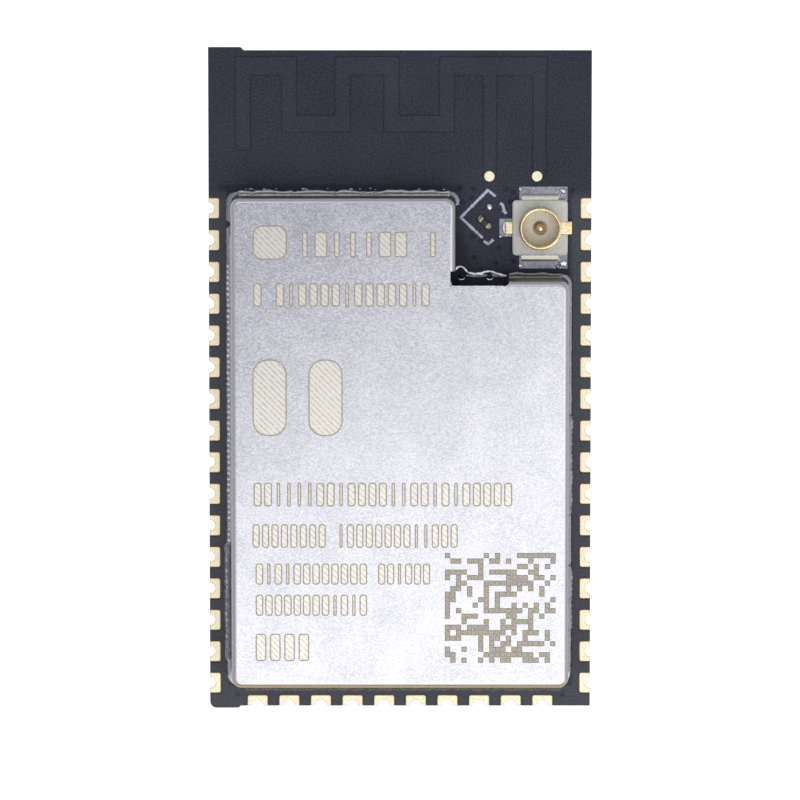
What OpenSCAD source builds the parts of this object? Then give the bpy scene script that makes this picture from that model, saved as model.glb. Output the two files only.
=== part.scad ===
// Castellated radio module: a thin laminate board with a printed antenna at one end, a folded
// sheet-metal shield can over the circuit and a micro coaxial receptacle in the can's notch.
// Millimetres. The origin is the middle of the board's underside, +Y points to the antenna end
// and +Z goes up through the can.

/* [Board] */
// Width of the board, across the antenna end
board_w = 18; // [17:0.1:24]
// Length of the board
board_l = 31; // [30:0.1:40]
// Thickness of the finished board, both masks included
board_t = 0.8; // [0.4:0.05:1.6]
// Thickness of the solder mask on each face
mask_t = 0.035; // [0.02:0.005:0.06]
// Thickness of the plated copper on each face
copper_t = 0.035; // [0.018:0.001:0.07]
// Thickness of the mask where it climbs over a trace
mask_over_trace = 0.02; // [0.01:0.005:0.04]
// Bare laminate left round a pad by the mask opening
mask_gap = 0.05; // [0.02:0.01:0.1]
// Length of the broken-off panel tab that is left at the antenna end
top_tab_l = 1.5; // [0.5:0.1:4]
// Height that the antenna-end tab stands proud of the edge
top_tab_h = 0.15; // [0.05:0.01:0.3]
// Length of the broken-off panel tab that is left at the other end
end_tab_l = 1.45; // [0.5:0.05:1.6]
// Height that the other tab stands proud of the edge
end_tab_h = 0.1; // [0.05:0.01:0.3]
// Radius that the break left on the corner of that tab
end_tab_r = 0.3; // [0.1:0.05:0.5]

/* [Edge pads] */
// Distance from one castellated pad to the next
pad_pitch = 1.5; // [1.1:0.05:1.55]
// Pads along each long side
side_pads = 16; // [4:1:16]
// Pads along the short side
end_pads = 10; // [4:1:10]
// Distance from the board's lower edge to the middle of the first side pad
side_pad_start = 1.1; // [1.1:0.05:3]
// Diameter of the drilled hole that the board's edge cuts in half
edge_hole_d = 0.6; // [0.4:0.05:0.75]
// Thickness of the plating inside that hole
plating_t = 0.035; // [0.02:0.005:0.06]
// Length of a pad along the edge, on the component side
land_w = 0.95; // [0.85:0.05:1]
// Depth of a pad in from the edge, on the component side
land_d = 0.5; // [0.45:0.05:0.8]
// Length of a pad along the edge, on the underside
under_land_w = 0.9; // [0.85:0.05:1]
// Depth of a pad in from the edge, on the underside
under_land_d = 0.85; // [0.5:0.05:0.9]
// Corner radius of every pad
land_r = 0.1; // [0.05:0.01:0.2]

/* [Underside ground pads] */
// Side of one square ground pad
ground_pad = 0.9; // [0.5:0.05:1.3]
// Distance from one ground pad to the next
ground_pitch = 1.4; // [1.35:0.05:2]
// Ground pads in each row and in each column
ground_count = 3; // [2:1:4]

/* [Printed antenna] */
// Width of the antenna's trace
trace_w = 0.68; // [0.4:0.02:0.9]
// Distance from the board's end to the outer cross bars
antenna_inset = 0.3; // [0.2:0.05:1]
// Width of the outer cross bars
outer_bar_w = 0.85; // [0.5:0.05:1]
// Width of the inner cross bars
inner_bar_w = 0.75; // [0.5:0.05:1]
// Distance from the board's end to the far side of the inner cross bars
meander_depth = 3.8; // [2:0.1:4.5]
// Distance from the board's end to the open end of the last leg
open_leg = 4.65; // [2.5:0.05:5]
// Width of the feed leg
feed_w = 0.6; // [0.3:0.05:0.8]
// Diameter of the gold test pads at the ends of the feed and shorting legs
test_pad_d = 0.5; // [0.4:0.02:0.8]
// Distance from the can's upper wall to the middle of the test pads
test_pad_gap = 0.9; // [0.6:0.05:2]

/* [Vias] */
// Diameter of the open hole in a via
via_d = 0.2; // [0.15:0.01:0.3]
// Thickness of a via's barrel
via_wall = 0.04; // [0.02:0.005:0.06]

/* [Shield can] */
// Width of the can over its walls
can_w = 15.8; // [13:0.1:16]
// Length of the can over its walls
can_l = 23; // [19:0.1:23.5]
// Height of the can above the board
can_h = 2.5; // [2.2:0.1:4]
// Thickness of the can's sheet
sheet_t = 0.2; // [0.1:0.01:0.24]
// Outer radius of the fold between the top and the walls
bend_r = 0.25; // [0.25:0.01:0.4]
// Outer radius of the can's upright corners
can_corner_r = 0.45; // [0.42:0.01:0.8]
// Distance from the board's lower edge to the can
can_start = 1.2; // [1:0.05:2]
// Width of the can's notch
notch_w = 5.3; // [5.2:0.1:7]
// Length of the can's notch
notch_l = 3.87; // [3.8:0.01:6]
// Reach of the relief slot along the wall that faces the antenna
relief_x = 2.47; // [0.6:0.01:2.9]
// Reach of the relief slot along the other wall of the notch
relief_y = 0.44; // [0.2:0.01:1.2]
// Radius in the corner of the relief slot
relief_r = 0.17; // [0.05:0.01:0.3]
// Height of the recesses in the can's foot
foot_recess_h = 0.15; // [0.1:0.01:0.4]
// Width of the tinned land inside the wall's outer face
land_in = 0.4; // [0.3:0.05:0.6]
// Width of the tinned land outside the wall's outer face
land_out = 0.2; // [0.15:0.01:0.4]
// Width of the solder fillet along the can's foot
fillet_w = 0.17; // [0.1:0.01:0.2]
// Height of the solder fillet up the can's wall
fillet_h = 0.26; // [0.1:0.01:0.6]

/* [Coaxial receptacle] */
// Distance from the notch's inner corner to the receptacle's axis, across the board
coax_x = 3.98; // [3.8:0.01:4.5]
// Distance from the notch's inner corner to the receptacle's axis, along the board
coax_y = 2.36; // [2.2:0.01:3]
// Side of the square housing
housing_w = 2.6; // [2.4:0.05:3]
// Height of the housing's flange above the board
housing_h = 0.35; // [0.3:0.01:0.5]
// Corner radius of the housing
housing_r = 0.2; // [0.1:0.05:0.4]
// Bevel round the housing's upper edges
housing_bevel = 0.06; // [0.02:0.01:0.12]
// Outer diameter of the ring that the plug snaps over
ring_d = 2; // [1.8:0.05:2.2]
// Wall of that ring
ring_t = 0.17; // [0.1:0.01:0.25]
// Height of the ring above the board
ring_h = 1.25; // [1:0.05:1.6]
// Depth of the snap groove round the ring
snap_depth = 0.05; // [0.02:0.01:0.08]
// Height of the snap groove above the board
snap_z = 0.75; // [0.65:0.05:0.95]
// Diameter of the centre pin
pin_d = 0.41; // [0.3:0.01:0.5]
// Height of the centre pin above the board
pin_h = 1; // [0.7:0.05:1.1]
// Diameter of the recess round the centre pin
pin_recess_d = 0.66; // [0.55:0.01:0.9]
// Thickness of the receptacle's sheet-metal legs
leg_t = 0.12; // [0.08:0.01:0.15]
// Width of the two ground legs
ground_leg_w = 1.75; // [1.4:0.05:1.8]
// Distance between the tips of the two ground legs
ground_leg_span = 2.96; // [2.8:0.02:3.4]
// Reach of the signal leg from the axis
signal_leg = 1.63; // [1.5:0.01:1.9]
// Width of the signal leg
signal_leg_w = 0.57; // [0.3:0.01:0.7]
// Reach of the locating tab from the axis
tab_reach = 1.5; // [1.4:0.01:1.7]
// Width of the locating tab
tab_w = 0.6; // [0.4:0.05:0.9]
// Width of each tinned ground land under the receptacle
coax_land_w = 2.27; // [1.9:0.01:2.4]
// Depth of each tinned ground land along the board
coax_land_d = 1.1; // [0.8:0.05:1.2]
// Bare length of each tinned land beyond its leg's tip
coax_land_out = 0.45; // [0.2:0.01:0.45]
// Margin of the signal land on each side of its leg
signal_land_margin = 0.14; // [0.05:0.01:0.2]
// Length of the signal land
signal_land_l = 1.05; // [0.8:0.05:1.1]

/* [Antenna selector] */
// Half of the diagonal of the printed diamond
mark_half = 1.25; // [1.15:0.01:1.35]
// Width of the printed line
mark_line = 0.1; // [0.06:0.01:0.15]
// Thickness of the print
print_t = 0.015; // [0.01:0.005:0.03]
// Length of the link resistor
link_l = 0.6; // [0.5:0.05:0.7]
// Width of the link resistor
link_w = 0.3; // [0.25:0.01:0.35]
// Height of the link resistor
link_h = 0.24; // [0.2:0.01:0.35]
// Diameter of the solder left on the spare land
spare_solder_d = 0.34; // [0.2:0.01:0.4]

/* [Inside the can] */
// Side of the square radio chip
chip_w = 7; // [5:0.1:7.2]
// Height of the radio chip's moulding
chip_h = 0.8; // [0.6:0.05:1]
// Terminals along each side of the radio chip
chip_leads = 14; // [8:1:14]
// Distance from one terminal to the next
chip_lead_pitch = 0.4; // [0.35:0.01:0.45]
// Side of the memory chip's moulding
memory_w = 5.2; // [4:0.1:5.4]
// Height of the memory chip above its lands
memory_h = 1.7; // [1.2:0.1:1.9]
// Reach of the memory chip from lead tip to lead tip
memory_span = 7.8; // [7:0.1:8]
// Length of the crystal's case
crystal_l = 2.5; // [2:0.1:3.2]
// Width of the crystal's case
crystal_w = 2; // [1.6:0.1:2.5]
// Length of a capacitor
cap_l = 1; // [0.8:0.05:1.2]
// Width and height of a capacitor
cap_w = 0.5; // [0.4:0.02:0.6]

/* [Hidden] */
$fn = 48;
over = 0.02;

// Levels
core_bottom = mask_t;
core_top = board_t - mask_t;
core_t = core_top - core_bottom;
land_top = core_top + copper_t;
under_z = core_bottom - copper_t;
seat_z = max(board_t, land_top);

// Board edges and the pad rows along them
left_x = -board_w / 2;
right_x = board_w / 2;
antenna_y = board_l / 2;
end_y = -board_l / 2;
side_ys = [for (i = [0 : side_pads - 1]) end_y + side_pad_start + i * pad_pitch];
end_xs = [for (i = [0 : end_pads - 1]) (i - (end_pads - 1) / 2) * pad_pitch];

// Can outline, and the inner corner of its notch
can_x0 = -can_w / 2;
can_x1 = can_w / 2;
can_y0 = end_y + can_start;
can_y1 = can_y0 + can_l;
can_top = land_top + can_h;
notch = [can_x1 - notch_w, can_y1 - notch_l];
wall_h = can_h - bend_r;

// Antenna legs from the open one to the shorting one, each the middle of its trace
leg_xs = [-7.38, -5.2, -2.7, -0.4, 2.2, 4.22, 6.55];
bar_outer = antenna_y - antenna_inset;
bar_inner = antenna_y - meander_depth;
test_y = can_y1 + test_pad_gap;
test_shift = [-0.02, -0.11];

// Receptacle and selector, measured from the notch's inner corner
coax = notch + [coax_x, coax_y];
ring_foot = 0.2;
ring_flare = 0.04;
ring_neck = 0.02;
ring_floor_rise = 0.05;
ring_window = 1.1;
pin_seat = 0.08;
signal_land_start = 0.28;
mark = notch + [1.5, 2.85];
spare_land = mark + [0.1, 0.47];
link = mark + [-0.13, -0.25];
link_angle = -42;
link_end_l = 0.15;
link_land_out = 0.1;
bare_land_top = 0.45;
bare_land_low = 0.12;
solder_runs_left = [[6.6, can_l - 1.4]];
solder_runs_right = [[2.3, 5.6], [7.8, 12.75]];
foot_recess_left = [6.1, can_l - 1.35];
foot_recess_right = [6.7];
foot_recess_w = 0.45;

// Vias: round the receptacle from the notch's inner corner, then one in each end corner
notch_vias = [
    [0.2, 4.2], [0.85, 4.2], [2.35, 4.2], [2.74, 4.02], [5.5, 4.12], [0.75, 3.75],
    [0.35, 3.55], [2.6, 3.6], [0.8, 1.95], [1.2, 1.72], [2.05, 1.4], [0.9, 0.95],
    [1.9, 0.65], [2.74, 0.75], [0.32, 0.02], [1.64, 0.02]
];
corner_via = [1.32, 0.55];
via_spots = concat(
    [for (v = notch_vias) notch + v],
    [[left_x + corner_via[0], end_y + corner_via[1]], [right_x - corner_via[0], end_y + corner_via[1]]]
);

// Parts under the can: the chips beside its middle line, the crystal by its left wall and above
// the radio chip, the inductors by its right wall
can_mid = (can_x0 + can_x1) / 2;
chip = [can_mid - 1.6, can_y0 + 12.3];
memory = [can_mid + 0.3, can_y0 + 4.1];
crystal_room = 1.15;
crystal_gap = 0.3;
crystal = [
    can_x0 + sheet_t + crystal_room + crystal_l / 2,
    chip[1] + chip_w / 2 + crystal_gap + crystal_w / 2
];
lead_stand = 0.05;
land_margin = 0.05;
chip_lead = [0.4, 0.2];
chip_slug = 4;
memory_lead_w = 0.42;
memory_lead_pitch = 1.27;
memory_lead_t = 0.2;
memory_foot = 0.6;
crystal_pad = [0.75, 0.65];
crystal_h = 0.45;
crystal_lid_t = 0.1;
crystal_lid_r = 0.15;
cap_end_l = 0.25;
inductor_l = 1.6;
inductor_w = 0.8;
inductor_end_l = 0.3;
thermal_vias = [for (x = [-1, 1], y = [-1, 1]) chip + [x, y] * ground_pitch / 2];
// Capacitors along three sides of the radio chip, each as its middle and its turn
cap_gap = 0.45;
cap_pitch = 1.3;
cap_row = chip_w / 2 + cap_gap + cap_w / 2;
cap_spots = concat(
    [for (i = [-2 : 1]) [chip + [cap_row, i * cap_pitch], 90]],
    [for (i = [0 : 2]) [chip + [i * cap_pitch, cap_row], 0]],
    [for (i = [-2 : 0]) [chip + [-cap_row, i * cap_pitch], 90]]
);
inductor_room = 0.5;
inductor_pitch = 2.2;
inductor_spots = [
    for (i = [0, 1])
        [can_x1 - sheet_t - inductor_room - inductor_l / 2, chip[1] - 0.6 + i * inductor_pitch]
];

// ---- outlines ----

// A pad from the local Y axis towards +X, its two inner corners rounded
module edge_land(depth, width, r) {
    translate([0, -width / 2]) square([depth - r, width]);
    translate([0, -width / 2 + r]) square([depth, width - 2 * r]);
    for (s = [-1, 1]) translate([depth - r, s * (width / 2 - r)]) circle(r);
}

// A rectangle about its middle with rounded corners
module rounded(size, r) {
    square([size[0], size[1] - 2 * r], center = true);
    square([size[0] - 2 * r, size[1]], center = true);
    for (x = [-1, 1], y = [-1, 1])
        translate([x * (size[0] / 2 - r), y * (size[1] / 2 - r)]) circle(r);
}

// A line of print between two points, with round ends
module stroke(from, to, width) {
    run = to - from;
    translate(from) rotate(atan2(run[1], run[0])) translate([0, -width / 2]) square([norm(run), width]);
    translate(from) circle(d = width);
    translate(to) circle(d = width);
}

// Puts a pad drawn from the Y axis at each place along one side of the board
module along_left() for (y = side_ys) translate([left_x, y]) children();
module along_right() for (y = side_ys) translate([right_x, y]) rotate(180) children();
module along_end() for (x = end_xs) translate([x, end_y]) rotate(90) children();

module board_outline() {
    difference() {
        board_blank();
        translate([left_x, end_y - end_tab_h]) difference() {
            translate([-over, -over]) square(end_tab_r + over);
            translate([end_tab_r, end_tab_r]) circle(end_tab_r);
        }
    }
}

module board_blank() {
    union() {
        square([board_w, board_l], center = true);
        translate([left_x, antenna_y]) polygon([
            [0, top_tab_h], [0, -top_tab_h], [top_tab_l + top_tab_h, -top_tab_h],
            [top_tab_l + top_tab_h, 0], [top_tab_l, top_tab_h]
        ]);
        translate([left_x, end_y]) polygon([
            [0, end_tab_h], [0, -end_tab_h], [end_tab_l - end_tab_h, -end_tab_h],
            [end_tab_l, 0], [end_tab_l, end_tab_h]
        ]);
    }
}

module edge_openings(depth, width) {
    along_left() edge_land(depth + mask_gap, width + 2 * mask_gap, land_r + mask_gap);
    along_right() edge_land(depth + mask_gap, width + 2 * mask_gap, land_r + mask_gap);
    along_end() edge_land(depth + mask_gap, width + 2 * mask_gap, land_r + mask_gap);
}

module edge_holes() {
    along_left() circle(d = edge_hole_d);
    along_right() circle(d = edge_hole_d);
    along_end() circle(d = edge_hole_d);
}

// The meander: seven legs joined by bars, grown outwards on every side
module antenna_outline(grow = 0) {
    module leg(i, y0, y1, width)
        translate([leg_xs[i] - width / 2 - grow, y0 - grow]) square([width + 2 * grow, y1 - y0 + 2 * grow]);
    module bar(i, j, y, width)
        translate([leg_xs[i] - trace_w / 2 - grow, y - grow])
            square([leg_xs[j] - leg_xs[i] + trace_w + 2 * grow, width + 2 * grow]);
    union() {
        leg(0, antenna_y - open_leg, bar_outer, trace_w);
        for (i = [1 : 4]) leg(i, bar_inner, bar_outer, trace_w);
        leg(5, test_y, bar_outer, feed_w);
        leg(6, test_y, bar_outer, feed_w);
        bar(0, 1, bar_outer - outer_bar_w, outer_bar_w);
        bar(2, 3, bar_outer - outer_bar_w, outer_bar_w);
        bar(4, 6, bar_outer - outer_bar_w, outer_bar_w);
        bar(1, 2, bar_inner, inner_bar_w);
        bar(3, 4, bar_inner, inner_bar_w);
    }
}

module test_spots() for (i = [0, 1]) translate([leg_xs[5 + i] + test_shift[i], test_y]) children();

// The can's L-shaped outline, grown outwards or drawn in
module can_outline(grow) {
    union() {
        translate([can_x0 - grow, can_y0 - grow]) square([can_w + 2 * grow, can_l - notch_l + 2 * grow]);
        translate([can_x0 - grow, can_y0 - grow]) square([can_w - notch_w + 2 * grow, can_l + 2 * grow]);
    }
}

// Bare all round the can, but masked inside the relief slot and beside the notch's side wall
module shield_land_outline() {
    difference() {
        can_outline(land_out);
        can_outline(-land_in);
        translate(notch - [land_in + over, land_in + over])
            square([land_in + over + relief_x - bare_land_low, land_in + over]);
        translate([notch[0], notch[1] + land_out + bare_land_low])
            square([land_out + over, notch_l - land_out - bare_land_low - bare_land_top]);
    }
}

// Two ground lands that end level with the housing's side, and the signal land
module coax_land_outline() {
    ground_far = ground_leg_span / 2 + coax_land_out;
    signal_w = signal_leg_w + 2 * signal_land_margin;
    for (s = [0, 1]) mirror([0, s])
        translate([housing_w / 2 - coax_land_w, ground_far - coax_land_d]) square([coax_land_w, coax_land_d]);
    translate([-signal_leg - signal_land_start, -signal_w / 2]) square([signal_land_l, signal_w]);
}

module selector_land_outline() {
    translate(spare_land) circle(d = spare_solder_d);
    translate(link) rotate(link_angle)
        for (s = [-1, 1]) translate([s * (link_l - link_end_l + link_land_out) / 2, 0])
            square([link_end_l + link_land_out, link_w], center = true);
}

// Every land under the can, as one pattern
module component_land_outline() {
    each_chip_lead() square([chip_lead[0] + 4 * land_margin, chip_lead[1]], center = true);
    translate(chip) square(chip_slug, center = true);
    each_memory_lead() translate([memory_span / 2 - memory_foot / 2, 0])
        square([memory_foot + 6 * land_margin, memory_lead_w + 4 * land_margin], center = true);
    each_crystal_pad() square(crystal_pad + [2, 2] * land_margin, center = true);
    for (c = cap_spots) at(c) chip_part_lands(cap_l, cap_w, cap_end_l);
    for (p = inductor_spots) translate(p) chip_part_lands(inductor_l, inductor_w, inductor_end_l);
}

module chip_part_lands(l, w, end_l)
    for (s = [-1, 1]) translate([s * (l - end_l) / 2, 0]) square([end_l + 2 * land_margin, w], center = true);

module at(spot) translate(spot[0]) rotate(spot[1]) children();

module each_chip_lead()
    for (side = [0 : 3], i = [0 : chip_leads - 1])
        translate(chip) rotate(90 * side)
            translate([chip_w / 2 - chip_lead[0] / 2, (i - (chip_leads - 1) / 2) * chip_lead_pitch]) children();

module each_memory_lead()
    for (s = [0, 180], i = [0 : 3])
        translate(memory) rotate(s) translate([0, (i - 1.5) * memory_lead_pitch]) children();

module each_crystal_pad()
    for (x = [-1, 1], y = [-1, 1])
        translate(crystal + [x * (crystal_l - crystal_pad[0]) / 2, y * (crystal_w - crystal_pad[1]) / 2]) children();

// ---- board ----

module board_core() {
    color("#6b5f35") translate([0, 0, core_bottom]) linear_extrude(core_t) difference() {
        board_outline();
        edge_holes();
        for (v = concat(via_spots, thermal_vias)) translate(v) circle(d = via_d + 2 * via_wall);
    }
}

// The mask lies flat on the laminate and climbs over the antenna's copper
module solder_mask_top() {
    color("#24252c") difference() {
        translate([0, 0, core_top]) union() {
            linear_extrude(mask_t) difference() {
                board_outline();
                edge_openings(land_d, land_w);
                shield_land_outline();
                translate(coax) coax_land_outline();
                selector_land_outline();
                component_land_outline();
                for (v = via_spots) translate(v) circle(d = via_d);
            }
            linear_extrude(copper_t + mask_over_trace) antenna_outline(mask_over_trace);
        }
        translate([0, 0, core_top - over]) linear_extrude(copper_t + over) antenna_outline();
        translate([0, 0, core_top - over]) linear_extrude(copper_t + mask_over_trace + 2 * over)
            test_spots() circle(d = test_pad_d);
    }
}

module solder_mask_under() {
    color("#24252c") linear_extrude(mask_t) difference() {
        board_outline();
        edge_openings(under_land_d, under_land_w);
        ground_spots() square(ground_pad + 2 * mask_gap, center = true);
    }
}

module antenna_trace() {
    color("#b87333") translate([0, 0, core_top]) linear_extrude(copper_t) difference() {
        antenna_outline();
        test_spots() circle(d = test_pad_d);
    }
}

module via_barrels() {
    color("#c9a24a") translate([0, 0, core_bottom]) linear_extrude(core_t)
        for (v = concat(via_spots, thermal_vias)) translate(v) difference() {
            circle(d = via_d + 2 * via_wall);
            circle(d = via_d);
        }
}

// One castellation: a land on each face joined by the plated half hole between them
module edge_pad() {
    stack = core_t + 2 * copper_t;
    translate([0, 0, under_z]) difference() {
        union() {
            linear_extrude(copper_t) edge_land(under_land_d, under_land_w, land_r);
            translate([0, 0, stack - copper_t]) linear_extrude(copper_t) edge_land(land_d, land_w, land_r);
            intersection() {
                cylinder(d = edge_hole_d, h = stack);
                translate([0, -edge_hole_d, 0]) cube([edge_hole_d, 2 * edge_hole_d, stack]);
            }
        }
        translate([0, 0, -over]) cylinder(d = edge_hole_d - 2 * plating_t, h = stack + 2 * over);
    }
}

module edge_pads_left() color("#e8dcb4") along_left() edge_pad();
module edge_pads_right() color("#e8dcb4") along_right() edge_pad();
module edge_pads_end() color("#e8dcb4") along_end() edge_pad();

module ground_spots()
    for (i = [0 : ground_count - 1], j = [0 : ground_count - 1])
        translate(chip + ([i, j] - [1, 1] * (ground_count - 1) / 2) * ground_pitch) children();

module ground_pads() {
    color("#e8dcb4") translate([0, 0, under_z]) linear_extrude(copper_t) ground_spots() square(ground_pad, center = true);
}

module test_pads() {
    color("#ece4cb") test_spots() translate([0, 0, core_top]) cylinder(d = test_pad_d, h = copper_t + mask_over_trace);
}

// ---- shield can ----

module shield_land() {
    color("#a6a7ad") translate([0, 0, core_top]) linear_extrude(copper_t) difference() {
        shield_land_outline();
        for (v = via_spots) translate(v) circle(d = via_d);
    }
}

// Section of the wall and its fold: x is 0 where the flat top ends, y is 0 at the foot
module wall_section() {
    translate([bend_r - sheet_t, 0]) square([sheet_t, wall_h]);
    translate([0, wall_h]) intersection() {
        difference() {
            circle(bend_r);
            circle(bend_r - sheet_t);
        }
        square(bend_r);
    }
}

// A straight wall that faces +X and runs towards -Y from the origin
module wall(length) rotate([90, 0, 0]) linear_extrude(length) wall_section();

// A drawn corner between the walls that face +X and +Y
module wall_corner() rotate_extrude(angle = 90) translate([can_corner_r - bend_r, 0]) wall_section();

module flat_top() {
    r = can_corner_r - bend_r;
    lower = [can_w - 2 * bend_r, can_l - notch_l - 2 * bend_r];
    upper = [can_w - notch_w - 2 * bend_r, can_l - 2 * bend_r];
    union() {
        translate([can_x0 + bend_r, can_y0 + bend_r] + lower / 2) rounded(lower, r);
        translate([can_x0 + bend_r, can_y0 + bend_r] + upper / 2) rounded(upper, r);
        translate(notch - [bend_r, bend_r]) difference() {
            square(relief_r);
            translate([relief_r, relief_r]) circle(relief_r);
        }
    }
}

// The walls stop short of the notch's inner corner, where the sheet has its relief slot
module shield_can() {
    r = can_corner_r;
    b = bend_r;
    color("#c4c4ce") difference() {
        translate([0, 0, land_top]) union() {
            translate([0, 0, can_h - sheet_t]) linear_extrude(sheet_t) flat_top();
            translate([can_x1 - b, notch[1] - r, 0]) wall(notch[1] - can_y0 - 2 * r);
            translate([can_x1 - r, can_y0 + b, 0]) rotate(-90) wall(can_w - 2 * r);
            translate([can_x0 + b, can_y0 + r, 0]) rotate(180) wall(can_l - 2 * r);
            translate([can_x0 + r, can_y1 - b, 0]) rotate(90) wall(can_w - notch_w - 2 * r);
            translate([notch[0] - b, can_y1 - r, 0]) wall(notch_l - r - relief_y);
            translate([notch[0] + relief_x, notch[1] - b, 0]) rotate(90) wall(notch_w - r - relief_x);
            translate([can_x1 - r, notch[1] - r, 0]) wall_corner();
            translate([notch[0] - r, can_y1 - r, 0]) wall_corner();
            translate([can_x0 + r, can_y1 - r, 0]) rotate(90) wall_corner();
            translate([can_x0 + r, can_y0 + r, 0]) rotate(180) wall_corner();
            translate([can_x1 - r, can_y0 + r, 0]) rotate(270) wall_corner();
        }
        for (y = foot_recess_left) foot_recess(can_x0, y);
        for (y = foot_recess_right) foot_recess(can_x1, y);
    }
}

module foot_recess(x, y)
    translate([x - bend_r - over, can_y0 + y, land_top - over])
        cube([2 * bend_r + 2 * over, foot_recess_w, foot_recess_h + over]);

// A fillet on the land against a wall that faces +X, towards -Y from the origin
module fillet(length)
    rotate([90, 0, 0]) linear_extrude(length)
        polygon([[0, 0], [fillet_w, 0], [0.35 * fillet_w, 0.35 * fillet_h], [0, fillet_h]]);

module shield_solder() {
    inset = can_corner_r + 0.1;
    color("#9fa1af") translate([0, 0, land_top]) {
        for (run = solder_runs_right) translate([can_x1, can_y0 + run[1], 0]) fillet(run[1] - run[0]);
        for (run = solder_runs_left) translate([can_x0, can_y0 + run[0], 0]) rotate(180) fillet(run[1] - run[0]);
        translate([can_x1 - inset, can_y0, 0]) rotate(-90) fillet(can_w - 2 * inset);
        translate([can_x0 + inset, can_y1, 0]) rotate(90) fillet(can_w - notch_w - 2 * inset);
        translate([notch[0] + relief_x, notch[1], 0]) rotate(90) fillet(notch_w - relief_x - inset);
    }
}

// The bead on the bare land under the relief slot, ended short of the walls beside it
module slot_solder() {
    bead_r = 0.08;
    margin = 0.5;
    color("#d0d0da") translate([notch[0] + margin, notch[1] + land_out - bead_r, land_top]) rotate([90, 0, 90])
        linear_extrude(relief_x - 2 * margin) intersection() {
            circle(bead_r);
            translate([-bead_r, 0]) square([2 * bead_r, bead_r]);
        }
}

// ---- coaxial receptacle ----

module coax_lands() {
    color("#92929b") translate([coax[0], coax[1], core_top]) linear_extrude(copper_t) coax_land_outline();
}

// Everything of the receptacle that is sheet metal at ground: the ring, two legs and a tab
module shell_solid() {
    tab_top = board_t + housing_h;
    union() {
        difference() {
            union() {
                translate([0, 0, land_top]) rotate_extrude($fn = 96) ring_section();
                translate([-ground_leg_w / 2, -ground_leg_span / 2, land_top])
                    cube([ground_leg_w, ground_leg_span, leg_t]);
            }
            translate([0, 0, land_top - over]) cylinder(r = ring_d / 2 - ring_t, h = ring_h, $fn = 96);
            translate([-ring_d, -ring_window / 2, land_top - over])
                cube([2 * ring_d, ring_window, board_t - land_top + ring_foot + over]);
        }
        difference() {
            union() {
                translate([0, -tab_w / 2, tab_top - leg_t]) cube([tab_reach, tab_w, leg_t]);
                translate([tab_reach - leg_t, -tab_w / 2, board_t]) cube([leg_t, tab_w, housing_h]);
            }
            translate([0, 0, board_t - over]) cylinder(r = (ring_d - ring_t) / 2, h = ring_h, $fn = 96);
        }
    }
}

// Section of the ring from its axis: a foot that flares inside the moulding, a straight wall with
// the snap groove, and a rolled lip
module ring_section() {
    lip = ring_t / 2;
    seat = board_t - land_top;
    difference() {
        union() {
            translate([ring_d / 2 - ring_t, seat + housing_h]) square([ring_t, ring_h - housing_h - lip]);
            polygon([
                [ring_d / 2 - ring_t, 0], [ring_d / 2 + ring_flare, 0],
                [ring_d / 2, seat + housing_h + ring_neck], [ring_d / 2 - ring_t, seat + housing_h + ring_neck]
            ]);
            translate([ring_d / 2 - lip, seat + ring_h - lip]) circle(lip);
        }
        translate([ring_d / 2, seat + snap_z])
            polygon([[-snap_depth, 0], [over, -snap_depth - over], [over, snap_depth + over]]);
    }
}

module contact_solid() {
    pin_top = board_t + pin_h - pin_d / 2;
    union() {
        translate([0, 0, land_top]) cylinder(d = pin_d, h = pin_top - land_top);
        translate([0, 0, pin_top]) intersection() {
            sphere(d = pin_d);
            translate([-pin_d, -pin_d, 0]) cube(2 * pin_d);
        }
        translate([-signal_leg, -signal_leg_w / 2, land_top]) cube([signal_leg, signal_leg_w, leg_t]);
    }
}

module coax_shell() color("#dcc88e") translate([coax[0], coax[1], 0]) shell_solid();

module coax_contact() color("#e0b45a") translate([coax[0], coax[1], 0]) contact_solid();

// The moulding fills the ring's floor and holds the shell and the contact
module coax_housing() {
    floor_h = housing_h + ring_floor_rise;
    color("#b6b4ab") translate([coax[0], coax[1], 0]) difference() {
        translate([0, 0, board_t]) union() {
            difference() {
                linear_extrude(housing_h) rounded([housing_w, housing_w], housing_r);
                for (a = [0 : 90 : 270]) rotate(a) translate([housing_w / 2, 0, housing_h]) rotate([0, 45, 0])
                    cube([sqrt(2) * housing_bevel, 2 * housing_w, sqrt(2) * housing_bevel], center = true);
            }
            cylinder(r = ring_d / 2 - ring_t, h = floor_h, $fn = 96);
        }
        shell_solid();
        contact_solid();
        translate([0, 0, board_t + leg_t + pin_seat]) cylinder(d = pin_recess_d, h = floor_h);
        translate([-signal_leg, -signal_leg_w / 2, board_t - over]) cube([signal_leg, signal_leg_w, leg_t + over]);
    }
}

// Solder drawn up the tips of the legs
module coax_solder() {
    reach = 0.2;
    rise = 0.1;
    color("#a2a2ab") translate([coax[0], coax[1], land_top]) {
        for (s = [0, 180]) rotate(s) translate([-ground_leg_w / 2, ground_leg_span / 2, 0])
            rotate([90, 0, 90]) linear_extrude(ground_leg_w) polygon([[0, 0], [reach, 0], [0, rise]]);
        translate([-signal_leg, signal_leg_w / 2, 0]) rotate([90, 0, 0])
            linear_extrude(signal_leg_w) polygon([[0, 0], [-reach, 0], [0, rise]]);
    }
}

// ---- antenna selector ----

module selector_lands() {
    color("#a6a7ad") translate([0, 0, core_top]) linear_extrude(copper_t) selector_land_outline();
}

module link_ends() {
    color("#b5ada2") translate([link[0], link[1], land_top]) rotate(link_angle)
        for (s = [-1, 1]) translate([s * (link_l - link_end_l) / 2, 0, link_h / 2])
            cube([link_end_l, link_w, link_h], center = true);
}

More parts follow.
